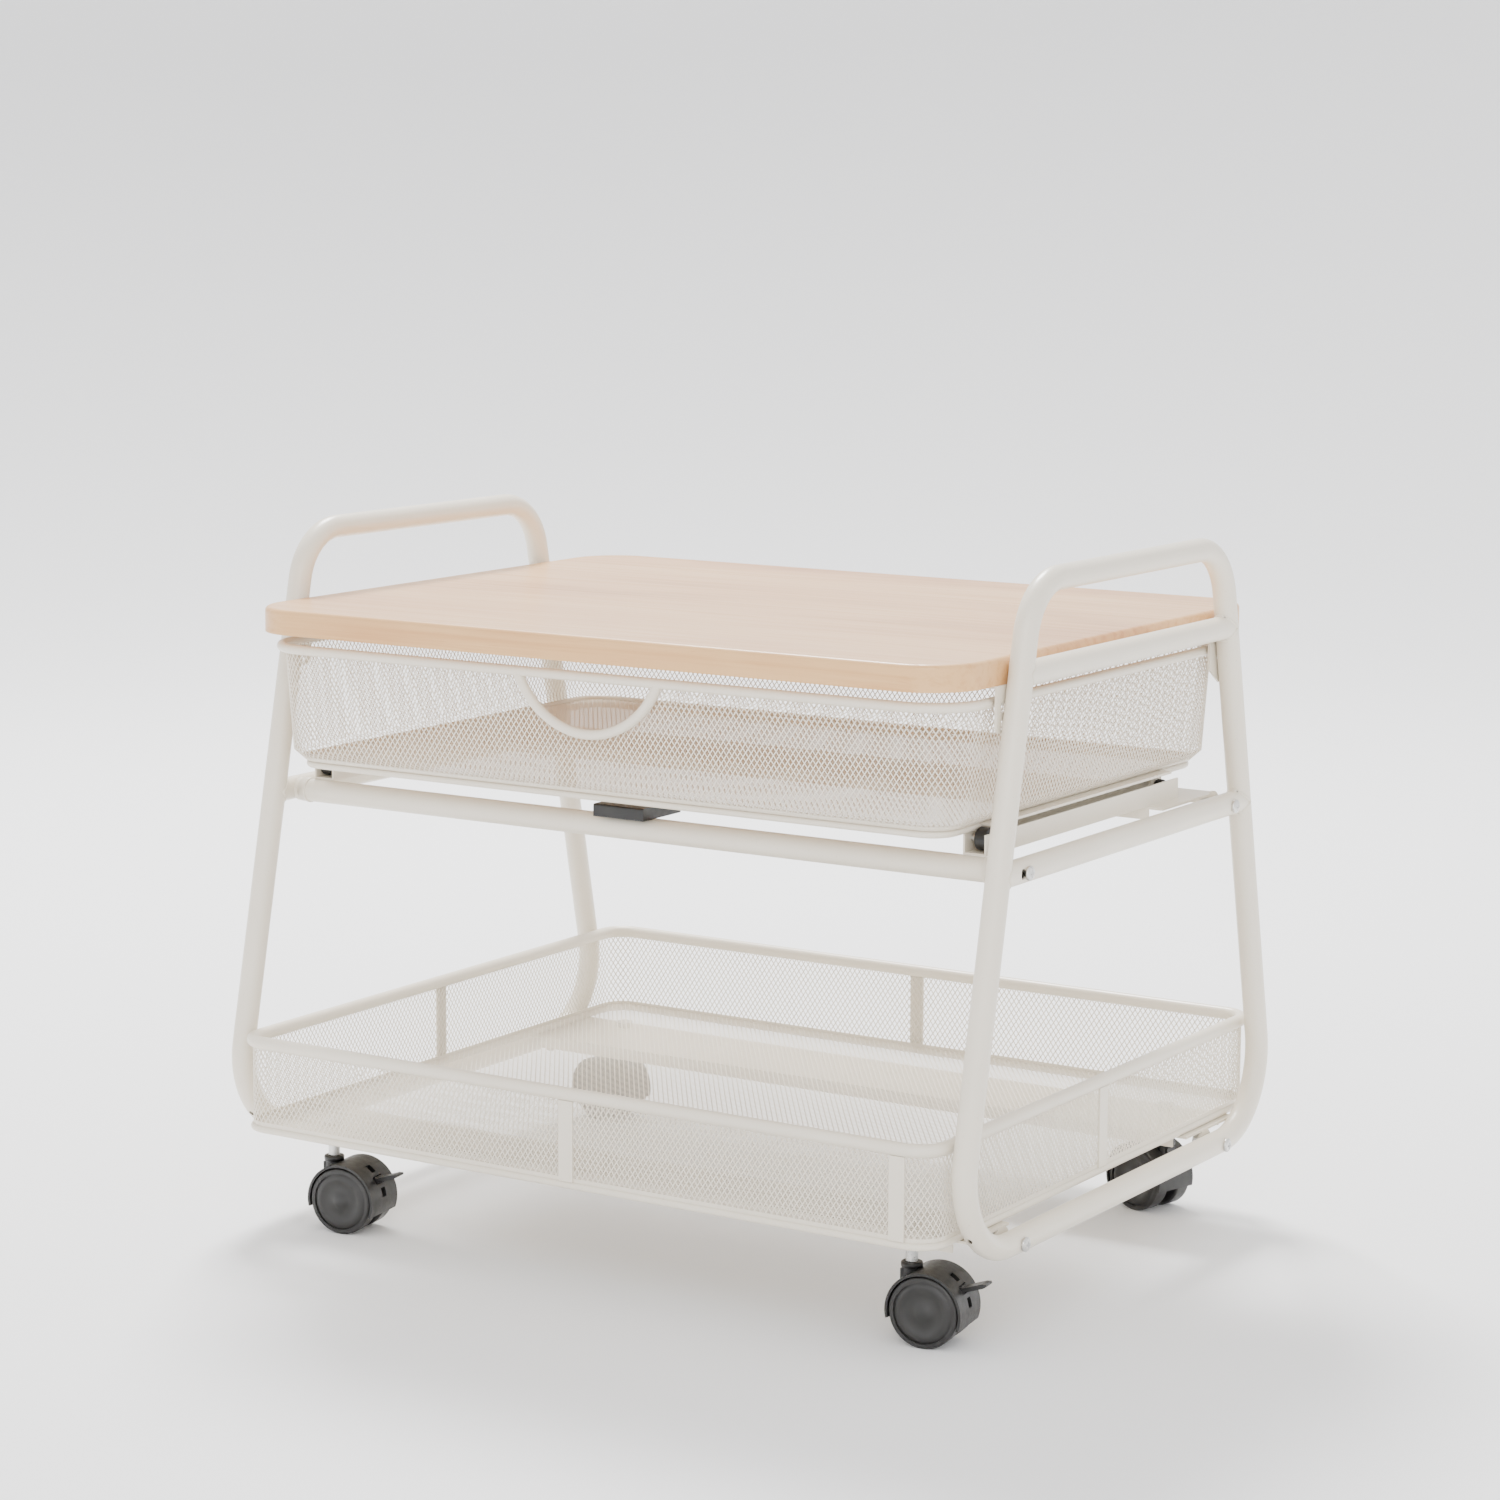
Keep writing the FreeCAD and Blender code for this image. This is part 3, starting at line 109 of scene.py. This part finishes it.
def addBump(mat, shader, height, strength, distance, under=None):
    bump = mat.node_tree.nodes.new("ShaderNodeBump")
    bump.inputs["Strength"].default_value = strength
    bump.inputs["Distance"].default_value = distance
    mat.node_tree.links.new(height, bump.inputs["Height"])
    if under is not None:
        mat.node_tree.links.new(under, bump.inputs["Normal"])
    mat.node_tree.links.new(bump.outputs["Normal"], shader.inputs["Normal"])
    return bump.outputs["Normal"]


def link(mat, output, shader, socket):
    mat.node_tree.links.new(output, shader.inputs[socket])


def powderCoat(name, look):
    mat, shader = newFinish(name, look["colour"], look["rough"])
    broad = addNoise(mat, 9.0, 2.0)
    tone = addRamp(mat, broad, [(0.3, look["shade"]), (0.7, look["colour"])])
    speck = addNoise(mat, 700.0, 1.0)
    dust = addRamp(mat, speck, [(0.24, look["speck"]), (0.30, (1, 1, 1))])
    link(mat, addMix(mat, 1.0, tone, dust, "MULTIPLY"), shader, "Base Color")
    link(mat, addRange(mat, addNoise(mat, 60.0, 3.0), look["rough"] - 0.05, look["rough"] + 0.06), shader,
         "Roughness")
    addBump(mat, shader, addNoise(mat, look["peelScale"], 2.0), look["peel"], 0.0002)
    shader.inputs["Coat Weight"].default_value = look["coat"]
    shader.inputs["Coat Roughness"].default_value = 0.22
    shader.inputs["Specular IOR Level"].default_value = 0.5
    return mat


coatLook = {"colour": (0.83, 0.765, 0.64), "shade": (0.79, 0.72, 0.60), "speck": (0.93, 0.91, 0.88),
            "rough": 0.36, "peelScale": 900.0, "peel": 0.10, "coat": 0.25}
meshLook = {"colour": (0.86, 0.80, 0.69), "shade": (0.82, 0.76, 0.65), "speck": (0.95, 0.93, 0.9),
            "rough": 0.42, "peelScale": 1400.0, "peel": 0.06, "coat": 0.15}


def maple(look):
    mat, shader = newFinish("mapleVeneer", look["light"], look["rough"])
    bend = addNoise(mat, 2.2, 3.0, (0.8, 5.0, 5.0), 0.6)
    band = addRamp(mat, bend, [(0.30, look["deep"]), (0.45, look["mid"]), (0.58, look["light"]),
                               (0.75, look["mid"])])
    line = addNoise(mat, 3.0, 6.0, (1.2, 60.0, 60.0), 0.3, 0.65)
    grain = addRamp(mat, line, [(0.32, look["vein"]), (0.52, (1, 1, 1)), (0.75, (1.0, 0.985, 0.96))])
    pore = addNoise(mat, 4.0, 2.0, (14.0, 420.0, 420.0))
    fleck = addRamp(mat, pore, [(0.22, look["pore"]), (0.32, (1, 1, 1))])
    veined = addMix(mat, 0.85, band, grain, "MULTIPLY")
    link(mat, addMix(mat, 0.7, veined, fleck, "MULTIPLY"), shader, "Base Color")
    link(mat, addRange(mat, line, look["rough"] + 0.06, look["rough"] - 0.04), shader, "Roughness")
    addBump(mat, shader, addNoise(mat, 4.0, 4.0, (3.0, 260.0, 260.0)), 0.12, 0.0001)
    shader.inputs["Coat Weight"].default_value = look["lacquer"]
    shader.inputs["Coat Roughness"].default_value = 0.2
    return mat


mapleLook = {"light": (0.77, 0.45, 0.19), "mid": (0.70, 0.375, 0.145), "deep": (0.54, 0.235, 0.07),
             "vein": (0.86, 0.74, 0.60), "pore": (0.78, 0.62, 0.46), "rough": 0.38, "lacquer": 0.3}


def mouldedPlastic(name, look):
    mat, shader = newFinish(name, look["colour"], look["rough"])
    cloud = addNoise(mat, 40.0, 3.0)
    link(mat, addRamp(mat, cloud, [(0.3, look["colour"]), (0.7, look["worn"])]), shader, "Base Color")
    link(mat, addRange(mat, addNoise(mat, 260.0, 3.0), look["rough"] - 0.06, look["rough"] + 0.07), shader,
         "Roughness")
    addBump(mat, shader, addNoise(mat, look["grainScale"], 3.0), look["grain"], 0.00012)
    return mat


plasticLook = {"colour": (0.010, 0.010, 0.010), "worn": (0.020, 0.019, 0.018), "rough": 0.42,
               "grainScale": 2600.0, "grain": 0.35}
wheelLook = {"colour": (0.013, 0.0125, 0.012), "worn": (0.022, 0.021, 0.020), "rough": 0.38,
             "grainScale": 3400.0, "grain": 0.2}
rollerLook = {"colour": (0.008, 0.008, 0.008), "worn": (0.014, 0.014, 0.014), "rough": 0.48,
              "grainScale": 3000.0, "grain": 0.15}


def platedZinc(look):
    mat, shader = newFinish("zincPlate", look["bright"], look["rough"], 1.0)
    cloud = addNoise(mat, 120.0, 4.0)
    link(mat, addRamp(mat, cloud, [(0.3, look["dull"]), (0.65, look["bright"])]), shader, "Base Color")
    link(mat, addRange(mat, addNoise(mat, 500.0, 3.0), look["rough"] - 0.08, look["rough"] + 0.12), shader,
         "Roughness")
    addBump(mat, shader, addNoise(mat, 900.0, 4.0), 0.2, 0.0001)
    return mat


zincLook = {"bright": (0.72, 0.71, 0.68), "dull": (0.50, 0.50, 0.49), "rough": 0.3}

finishes = {
    "ivory_powder_coat": powderCoat("ivoryCoat", coatLook),
    "mesh_steel": powderCoat("meshCoat", meshLook),
    "maple_board": maple(mapleLook),
    "black_plastic": mouldedPlastic("blackMoulding", plasticLook),
    "wheel_nylon": mouldedPlastic("wheelNylon", wheelLook),
    "roller_nylon": mouldedPlastic("rollerNylon", rollerLook),
    "zinc_steel": platedZinc(zincLook),
}


def dress(piece, slotName):
    piece.data.materials.clear()
    piece.data.materials.append(finishes[slotName])


for entry in frame["record"]["subparts"]:
    dress(nodes[entry["node"]], entry["material_slot"])
print("finishes made:", len(finishes))


def newPiece(name, points, faces, body, slotName, smooth=True):
    mesh = bpy.data.meshes.new(name)
    mesh.from_pydata(points, [], faces)
    mesh.validate()
    if smooth:
        mesh.polygons.foreach_set("use_smooth", [True] * len(mesh.polygons))
    piece = bpy.data.objects.new(name, mesh)
    scene.collection.objects.link(piece)
    dress(piece, slotName)
    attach(piece, body)
    return piece


# place(i, j) gives a point and its outward normal. i runs along the sheet and j up it, in half cells,
# and strands cross where i + j is even. inside(point) is above 0 where there is mesh.
def diamondNet(name, place, columns, rows, strand, body, wrap=False, inside=None, ridge=False):
    wide = columns * 2
    grid = {}
    for i in range(-1, wide + 2):
        for j in range(-1, rows * 2 + 2):
            grid[i, j] = place(i % wide if wrap else i, j)
    points, faces, corners = [], [], {}

    def cornersAt(i, j):
        if (i, j) in corners:
            return corners[i, j]
        point, normal = grid[i, j]
        made = []
        for shift in ((1, 0), (-1, 0), (0, 1), (0, -1)):
            made.append(point.lerp(grid[i + shift[0], j + shift[1]][0], strand["half"]))
        made.append(point + normal * strand["thick"])
        made.append(point - normal * (0 if ridge else strand["thick"]))
        corners[i, j] = made
        return made

    index = {}

    def nodeAt(i, j):
        if (i, j) not in index:
            index[i, j] = len(points)
            points.extend(cornersAt(i, j))
        return [index[i, j] + k for k in range(6)]

    def endAt(near, far, t):
        start = len(points)
        points.extend(a.lerp(b, t) for a, b in zip(near, far))
        return [start + k for k in range(6)]

    for i in range(wide):
        for j in range(rows * 2 + 1):
            if (i + j) % 2:
                continue
            for step in (1, -1):
                if not 0 <= j + step <= rows * 2:
                    continue
                here, there = (i, j), (i + 1, j + step)
                mine, theirs = cornersAt(*here), cornersAt(*there)
                # a strand's sides join unlike corners: right with down or up, up or down with left
                upper, lower = ((2, 1), (0, 3)) if step == 1 else ((0, 2), (3, 1))
                a = b = None
                if inside:
                    depthA, depthB = inside(grid[here][0]), inside(grid[there][0])
                    if depthA <= 0 and depthB <= 0:
                        continue
                    if depthA <= 0 or depthB <= 0:
                        t = depthA / (depthA - depthB)
                        swapped = list(theirs)
                        swapped[upper[0]], swapped[lower[0]] = theirs[upper[1]], theirs[lower[1]]
                        cut = endAt(mine, swapped, t)
                        if depthB <= 0:
                            b = list(cut)
                            b[upper[1]], b[lower[1]] = cut[upper[0]], cut[lower[0]]
                        else:
                            a = cut
                a = a or nodeAt(*here)
                b = b or nodeAt(*((0 if wrap and there[0] == wide else there[0]), there[1]))
                faces.append((a[4], b[4], b[upper[1]], a[upper[0]]))
                faces.append((a[4], a[lower[0]], b[lower[1]], b[4]))
                if not ridge:
                    faces.append((a[5], a[upper[0]], b[upper[1]], b[5]))
                    faces.append((a[5], b[5], b[lower[1]], a[lower[0]]))
    return newPiece(name, points, faces, body, "mesh_steel", smooth=False)


# A rounded rectangle in half cells: counts are (front, side, corner) half cells.
def ringPoint(i, halfX, halfY, corner, counts):
    front, side, bend = counts
    stretches = ((front, -1, -1, 0), (side, 1, -1, 90), (front, 1, 1, 180), (side, -1, 1, 270))
    flatX, flatY = halfX - corner, halfY - corner
    for count, sx, sy, turn in stretches:
        a = math.radians(turn)
        run = flatX if count == front and turn % 180 == 0 else flatY
        out = halfY if turn % 180 == 0 else halfX
        if i <= count:
            along = run * (2 * i / count - 1)
            return (along * math.cos(a) + out * math.sin(a), along * math.sin(a) - out * math.cos(a),
                    math.sin(a), -math.cos(a))
        i -= count
        if i < bend:
            b = a - math.pi / 2 + math.pi / 2 * i / bend
            middleX = run * math.cos(a) + (out - corner) * math.sin(a)
            middleY = run * math.sin(a) - (out - corner) * math.cos(a)
            return (middleX + corner * math.cos(b), middleY + corner * math.sin(b), math.cos(b), math.sin(b))
        i -= bend
    return ringPoint(0, halfX, halfY, corner, counts)


# A point on a basket's ring, and its outward normal, the given distance inside the rim's centreline.
def basketPoint(look, i, inset, z):
    halfX, halfY, corner = [(v - inset) * mm for v in look["ring"]]
    x, y, nx, ny = ringPoint(i, halfX, halfY, corner, look["counts"])
    return Vector((x, y + look["middle"] * mm, z * mm)), Vector((nx, ny, 0))


# Half cells all the way round a basket.
def ringTotal(look):
    front, side, bend = look["counts"]
    return 2 * front + 2 * side + 4 * bend


# A closed band swept round a rounded rectangle; profile points are (inset, height) in millimetres.
def ringStrip(name, look, profile, body, slotName, smooth=True):
    stride = 4
    steps = ringTotal(look) // stride
    points, faces = [], []
    for i in range(steps):
        for inset, z in profile:
            points.append(basketPoint(look, i * stride, inset, z)[0])
    count = len(profile)
    for i in range(steps):
        for k in range(count):
            here, ahead = i * count, (i + 1) % steps * count
            faces.append((here + k, here + (k + 1) % count, ahead + (k + 1) % count, ahead + k))
    return newPiece(name, points, faces, body, slotName, smooth)


# Sides of a basket: the profile gives (inset, height, rows of cells up to the next point).
def basketSides(name, look, body, inside=None):
    rows = sum(part[2] for part in look["profile"])

    def place(i, j):
        left = min(max(j, 0), rows * 2)
        for (inset, z, cells), (nextInset, nextZ, _) in zip(look["profile"], look["profile"][1:]):
            if left <= cells * 2:
                t = left / (cells * 2)
                return basketPoint(look, i, inset + (nextInset - inset) * t, z + (nextZ - z) * t)
            left -= cells * 2
        return basketPoint(look, i, nextInset, nextZ)

    return diamondNet(name, place, ringTotal(look) // 2, rows, look["strand"], body, True, inside)


def basketFloor(name, look, body):
    inset = look["profile"][0][0]
    halfX, halfY, corner = [(v - inset) * mm for v in look["ring"]]
    columns = round(2 * halfX / (look["cell"][0] * mm))
    rows = round(2 * halfY / (look["cell"][1] * mm))
    middle = look["middle"] * mm

    def place(i, j):
        point = Vector((-halfX + i * halfX / columns, middle - halfY + j * halfY / rows, look["floor"] * mm))
        return point, Vector((0, 0, 1))

    def inside(point):
        dx, dy = abs(point.x) - halfX + corner, abs(point.y - middle) - halfY + corner
        outer = math.hypot(max(dx, 0), max(dy, 0)) + min(max(dx, dy), 0)
        return corner - outer + 1e-7

    return diamondNet(name, place, columns, rows, look["strand"], body, False, inside, True)


strand = {"half": 0.25, "thick": 0.36 * mm}
drawerLook = {"ring": (246.4, 175.5, 32), "middle": -7.5, "counts": (228, 152, 24), "cell": (3.75, 5.3),
              "profile": ((14.2, 297.5, 2), (7.0, 304.0, 12), (2.6, 366.8, 0)), "floor": 297.6,
              "strand": strand, "holeRadius": 53.76, "holeZ": 388.46}
drawerHem = ((14.7, 297.1), (14.2, 297.1), (12.4, 298.8), (12.0, 300.3), (12.4, 300.4), (13.2, 299.0))
trayLook = {"ring": (247.3, 204.5, 16), "middle": 0, "counts": (246, 202, 14), "cell": (3.75, 5.3),
            "profile": ((0, 71.2, 9), (0, 120.4, 0)), "floor": 71.3, "strand": strand}
trayHem = ((0.45, 70.95), (-0.45, 70.95), (-0.5, 73.4), (0.45, 73.4))


def outsideHandHole(point):
    if point.y > 0:
        return 1.0
    return math.hypot(point.x, point.z - drawerLook["holeZ"] * mm) - drawerLook["holeRadius"] * mm


drawerSides = basketSides("drawer_mesh_sides", drawerLook, "drawer", outsideHandHole)
drawerFloor = basketFloor("drawer_mesh_floor", drawerLook, "drawer")
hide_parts("drawer_mesh")
ringStrip("drawer_mesh_hem", drawerLook, drawerHem, "drawer", "ivory_powder_coat")
traySides = basketSides("tray_mesh_sides", trayLook, "frame")
trayFloor = basketFloor("tray_mesh_floor", trayLook, "frame")
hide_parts("tray_mesh")
ringStrip("tray_mesh_hem", trayLook, trayHem, "frame", "ivory_powder_coat", False)
wovenPieces = (drawerSides, drawerFloor, traySides, trayFloor)
print("expanded mesh woven:", sum(len(piece.data.polygons) for piece in wovenPieces))


mergeGap = 0.002 * mm


# A round profile of (radius, height) points turned about an axis; the height runs along the axis.
# shape(x, y, height) can press the turned surface in.
def turned(name, profile, place, axis, body, slotName, sides=48, shape=None):
    spin = Vector((0, 0, 1)).rotation_difference(Vector(axis)).to_matrix()
    points, faces = [], []
    for i in range(sides):
        a = 2 * math.pi * i / sides
        for radius, height in profile:
            lift = height if shape is None else shape(radius * math.cos(a), radius * math.sin(a), height)
            offset = Vector((radius * math.cos(a), radius * math.sin(a), lift))
            points.append(Vector(place) + spin @ offset * mm)
    count = len(profile)
    for i in range(sides):
        here, ahead = i * count, (i + 1) % sides * count
        for k in range(count - 1):
            faces.append((here + k, ahead + k, ahead + k + 1, here + k + 1))
    piece = newPiece(name, points, faces, body, slotName)
    weld = bmesh.new()
    weld.from_mesh(piece.data)
    bmesh.ops.remove_doubles(weld, verts=weld.verts, dist=mergeGap)
    weld.to_mesh(piece.data)
    weld.free()
    return piece


# Round wire through a closed loop of points.
def closedWire(name, path, radius, body, slotName, sides=10):
    points, faces = [], []
    count = len(path)
    for i, point in enumerate(path):
        ahead = (path[(i + 1) % count] - path[i - 1]).normalized()
        across = ahead.orthogonal() if abs(ahead.x) > 0.9 else ahead.cross(Vector((1, 0, 0))).normalized()
        up = ahead.cross(across)
        for k in range(sides):
            a = 2 * math.pi * k / sides
            points.append(point + (across * math.cos(a) + up * math.sin(a)) * radius)
    for i in range(count):
        here, after = i * sides, (i + 1) % count * sides
        for k in range(sides):
            faces.append((here + k, here + (k + 1) % sides, after + (k + 1) % sides, after + k))
    return newPiece(name, points, faces, body, slotName)


# Weld beads where the side rails meet the sloping legs of the loops.
tubeLook = {"across": 260, "radius": 7.25, "footY": 200.7, "footZ": 57.8, "handY": 121, "handZ": 435.2,
            "rails": {"mid": 272.8, "upper": 384.3}, "bead": 1.0}


def weldBead(name, side, end, railZ, look):
    slope = (look["footY"] - look["handY"]) / (look["handZ"] - look["footZ"])
    lean = math.cos(math.atan(slope))
    path = []
    for k in range(48):
        a = 2 * math.pi * k / 48
        z = railZ + look["radius"] * math.sin(a)
        reach = look["radius"] * abs(math.sin(a)) / lean
        y = look["footY"] - (z - look["footZ"]) * slope - reach
        path.append(Vector((side * look["across"] + look["radius"] * math.cos(a), end * y, z)) * mm)
    closedWire(name, path, look["bead"] * mm, "frame", "ivory_powder_coat")


for railName, railZ in tubeLook["rails"].items():
    for sideName, side in (("left", -1), ("right", 1)):
        for endName, end in (("front", -1), ("rear", 1)):
            weldBead("weld_%s_%s_%s" % (railName, endName, sideName), side, end, railZ, tubeLook)
print("welds run")


# Pan head screws with a cross recess, over the bolts through the rails.
boltLook = {"radius": 4.3, "height": 2.6, "crown": 0.45, "rim": 0.35, "ease": 0.2, "shank": 3.0,
            "reach": 22.0, "arm": 2.1, "slot": 0.62, "deep": 1.3, "taper": 0.6, "rings": 24, "sides": 96}
boltRows = {"mid_rail_bolts": (133, 272.8), "foot_rail_bolts": (131.5, 57.8)}


def crossRecess(x, y, height):
    far, near = max(abs(x), abs(y)), min(abs(x), abs(y))
    if near >= boltLook["slot"] or far >= boltLook["arm"]:
        return height
    return height - boltLook["deep"] * (1 - far / boltLook["arm"] * boltLook["taper"])


def panHead(name, side, y, z, look):
    profile = []
    for k in range(look["rings"] + 1):
        r = look["radius"] * k / look["rings"]
        profile.append((r, look["height"] * (1 - look["crown"] * (r / look["radius"]) ** 4)))
    profile += [(look["radius"], look["rim"]), (look["radius"] - look["ease"], 0), (look["shank"], 0),
                (look["shank"], -look["reach"]), (0, -look["reach"])]
    place = Vector((side * (tubeLook["across"] + tubeLook["radius"]), y, z)) * mm
    return turned(name, profile, place, (side, 0, 0), "frame", "zinc_steel", look["sides"], crossRecess)


for nodeName, (boltY, boltZ) in boltRows.items():
    for sideName, side in (("left", -1), ("right", 1)):
        for endName, end in (("front", -1), ("rear", 1)):
            bolt = panHead("%s_%s_%s" % (nodeName, endName, sideName), side, end * boltY, boltZ, boltLook)
            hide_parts(nodeName)


# Pressed collars at both ends of the cross tube.
collarLook = {"y": -138, "z": 272.8, "x": 243.6, "long": 6.0, "lip": 0.7, "radius": 7.25}


def tubeCollar(name, side, look):
    r, lip, long = look["radius"], look["lip"], look["long"]
    profile = [(r - 0.1, 0), (r + lip * 0.7, 0), (r + lip, 0.4), (r + lip, 1.2), (r + lip * 0.45, 1.7),
               (r + lip * 0.4, long), (r - 0.1, long)]
    place = Vector((side * look["x"], look["y"], look["z"])) * mm
    turned(name, profile, place, (side, 0, 0), "frame", "ivory_powder_coat", 64)


for sideName, side in (("left", -1), ("right", 1)):
    tubeCollar("cross_tube_collar_%s" % sideName, side, collarLook)
print("bolts and collars set")


# Caster trim: hub caps with pressed rings, a collar on each stem socket and a hexagon on each stem.
casterLook = {"x": 210.5, "y": 161, "trail": 13, "wheel": 21, "face": 15.8, "dish": 1.0, "socket": 46.2,
              "turns": {"front_left": 8, "front_right": 8, "rear_left": 170, "rear_right": 164}}
capProfile = ((0, 0.85), (4.4, 0.85), (5.0, 0.3), (12.2, 0.3), (12.9, 0.8), (16.6, 0.8), (17.3, 0.1),
              (17.8, 0.05))
socketProfile = ((5.65, -3.4), (6.2, -3.0), (6.4, -0.9), (6.1, -0.2), (3.9, -0.05), (3.9, 0.15),
                 (3.65, 0.15))
hexProfile = ((3.55, 14.2), (5.6, 14.2), (6.0, 14.6), (6.0, 17.6), (5.6, 18.0), (3.55, 18.0))


def casterTrim(corner, look):
    end, side = corner.split("_")
    heading = math.radians(look["turns"][corner])
    stemX = look["x"] * (-1 if side == "left" else 1)
    stemY = look["y"] * (-1 if end == "front" else 1)
    ahead = Vector((math.cos(heading), math.sin(heading), 0))
    axle = Vector((stemX, stemY, look["wheel"])) + ahead * look["trail"]
    along = Vector((-math.sin(heading), math.cos(heading), 0))
    for wheelName, way in (("outer", -1), ("inner", 1)):
        face = (axle + along * way * (look["face"] - look["dish"])) * mm
        turned("caster_cap_%s_%s" % (wheelName, corner), capProfile, face, along * way,
               "wheel_%s_%s" % (wheelName, corner), "wheel_nylon", 64)
    top = Vector((stemX, stemY, look["socket"])) * mm
    turned("caster_socket_%s" % corner, socketProfile, top, (0, 0, 1), "caster_" + corner,
           "black_plastic", 40)
    turned("caster_stem_hexagon_%s" % corner, hexProfile, top, (0, 0, 1), "frame", "zinc_steel", 6)


for corner in casterLook["turns"]:
    casterTrim(corner, casterLook)
print("caster trim fitted")


# Studio: a pale round floor that curves up into its own backdrop.
studioLook = {"floorColour": (0.95, 0.95, 0.955), "sky": 1.55, "flat": 2.6, "bend": 3.0, "height": 6.0,
              "bendSteps": 16, "sides": 96}
lampLooks = {"key_light": {"place": (-1.2, 1.3, 2.8), "aim": (0, 0, 0.2), "power": 190.0, "size": 0.9},
             "fill_light": {"place": (1.5, -2.6, 1.6), "aim": (0, 0, 0.25), "power": 34.0, "size": 1.8}}


def backdrop(look):
    profile = [(0, 0), (look["flat"] * 0.5, 0), (look["flat"], 0)]
    for k in range(1, look["bendSteps"] + 1):
        a = math.pi / 2 * k / look["bendSteps"]
        profile.append((look["flat"] + look["bend"] * math.sin(a), look["bend"] * (1 - math.cos(a))))
    profile.append((look["flat"] + look["bend"], look["height"]))
    points, faces = [], []
    for i in range(look["sides"]):
        a = 2 * math.pi * i / look["sides"]
        points += [(r * math.cos(a), r * math.sin(a), z) for r, z in profile]
    count = len(profile)
    for i in range(look["sides"]):
        here, ahead = i * count, (i + 1) % look["sides"] * count
        faces += [(here + k, here + k + 1, ahead + k + 1, ahead + k) for k in range(count - 1)]
    floorMesh = bpy.data.meshes.new("studio_floor")
    floorMesh.from_pydata(points, [], faces)
    floorMesh.polygons.foreach_set("use_smooth", [True] * len(floorMesh.polygons))
    floor = bpy.data.objects.new("studio_floor", floorMesh)
    scene.collection.objects.link(floor)
    paper, shader = newFinish("studioPaper", look["floorColour"], 0.9)
    shader.inputs["Specular IOR Level"].default_value = 0.1
    floorMesh.materials.append(paper)


def skyLight(look):
    world = bpy.data.worlds.new("studioSky")
    world.use_nodes = True
    sky = world.node_tree.nodes["Background"]
    sky.inputs["Color"].default_value = (1, 1, 1, 1)
    sky.inputs["Strength"].default_value = look["sky"]
    scene.world = world


def areaLamp(name, look):
    light = bpy.data.lights.new(name, "AREA")
    light.energy = look["power"]
    light.size = look["size"]
    lamp = bpy.data.objects.new(name, light)
    lamp.location = look["place"]
    lamp.rotation_euler = (Vector(look["aim"]) - Vector(look["place"])).to_track_quat("-Z", "Y").to_euler()
    scene.collection.objects.link(lamp)


backdrop(studioLook)
skyLight(studioLook)
for lampName, lampLook in lampLooks.items():
    areaLamp(lampName, lampLook)

cameraLook = {"place": (1.2666, -1.9830, 0.6716), "turn": (81.89, -0.235, 32.67), "lens": 91.26,
              "shift": (-0.0006, -0.0364)}
cameraData = bpy.data.cameras.new("front_camera")
cameraData.lens = cameraLook["lens"]
cameraData.sensor_width = 36
cameraData.shift_x, cameraData.shift_y = cameraLook["shift"]
camera = bpy.data.objects.new("front_camera", cameraData)
camera.location = cameraLook["place"]
camera.rotation_euler = [math.radians(v) for v in cameraLook["turn"]]
scene.collection.objects.link(camera)
scene.camera = camera
print("studio set")
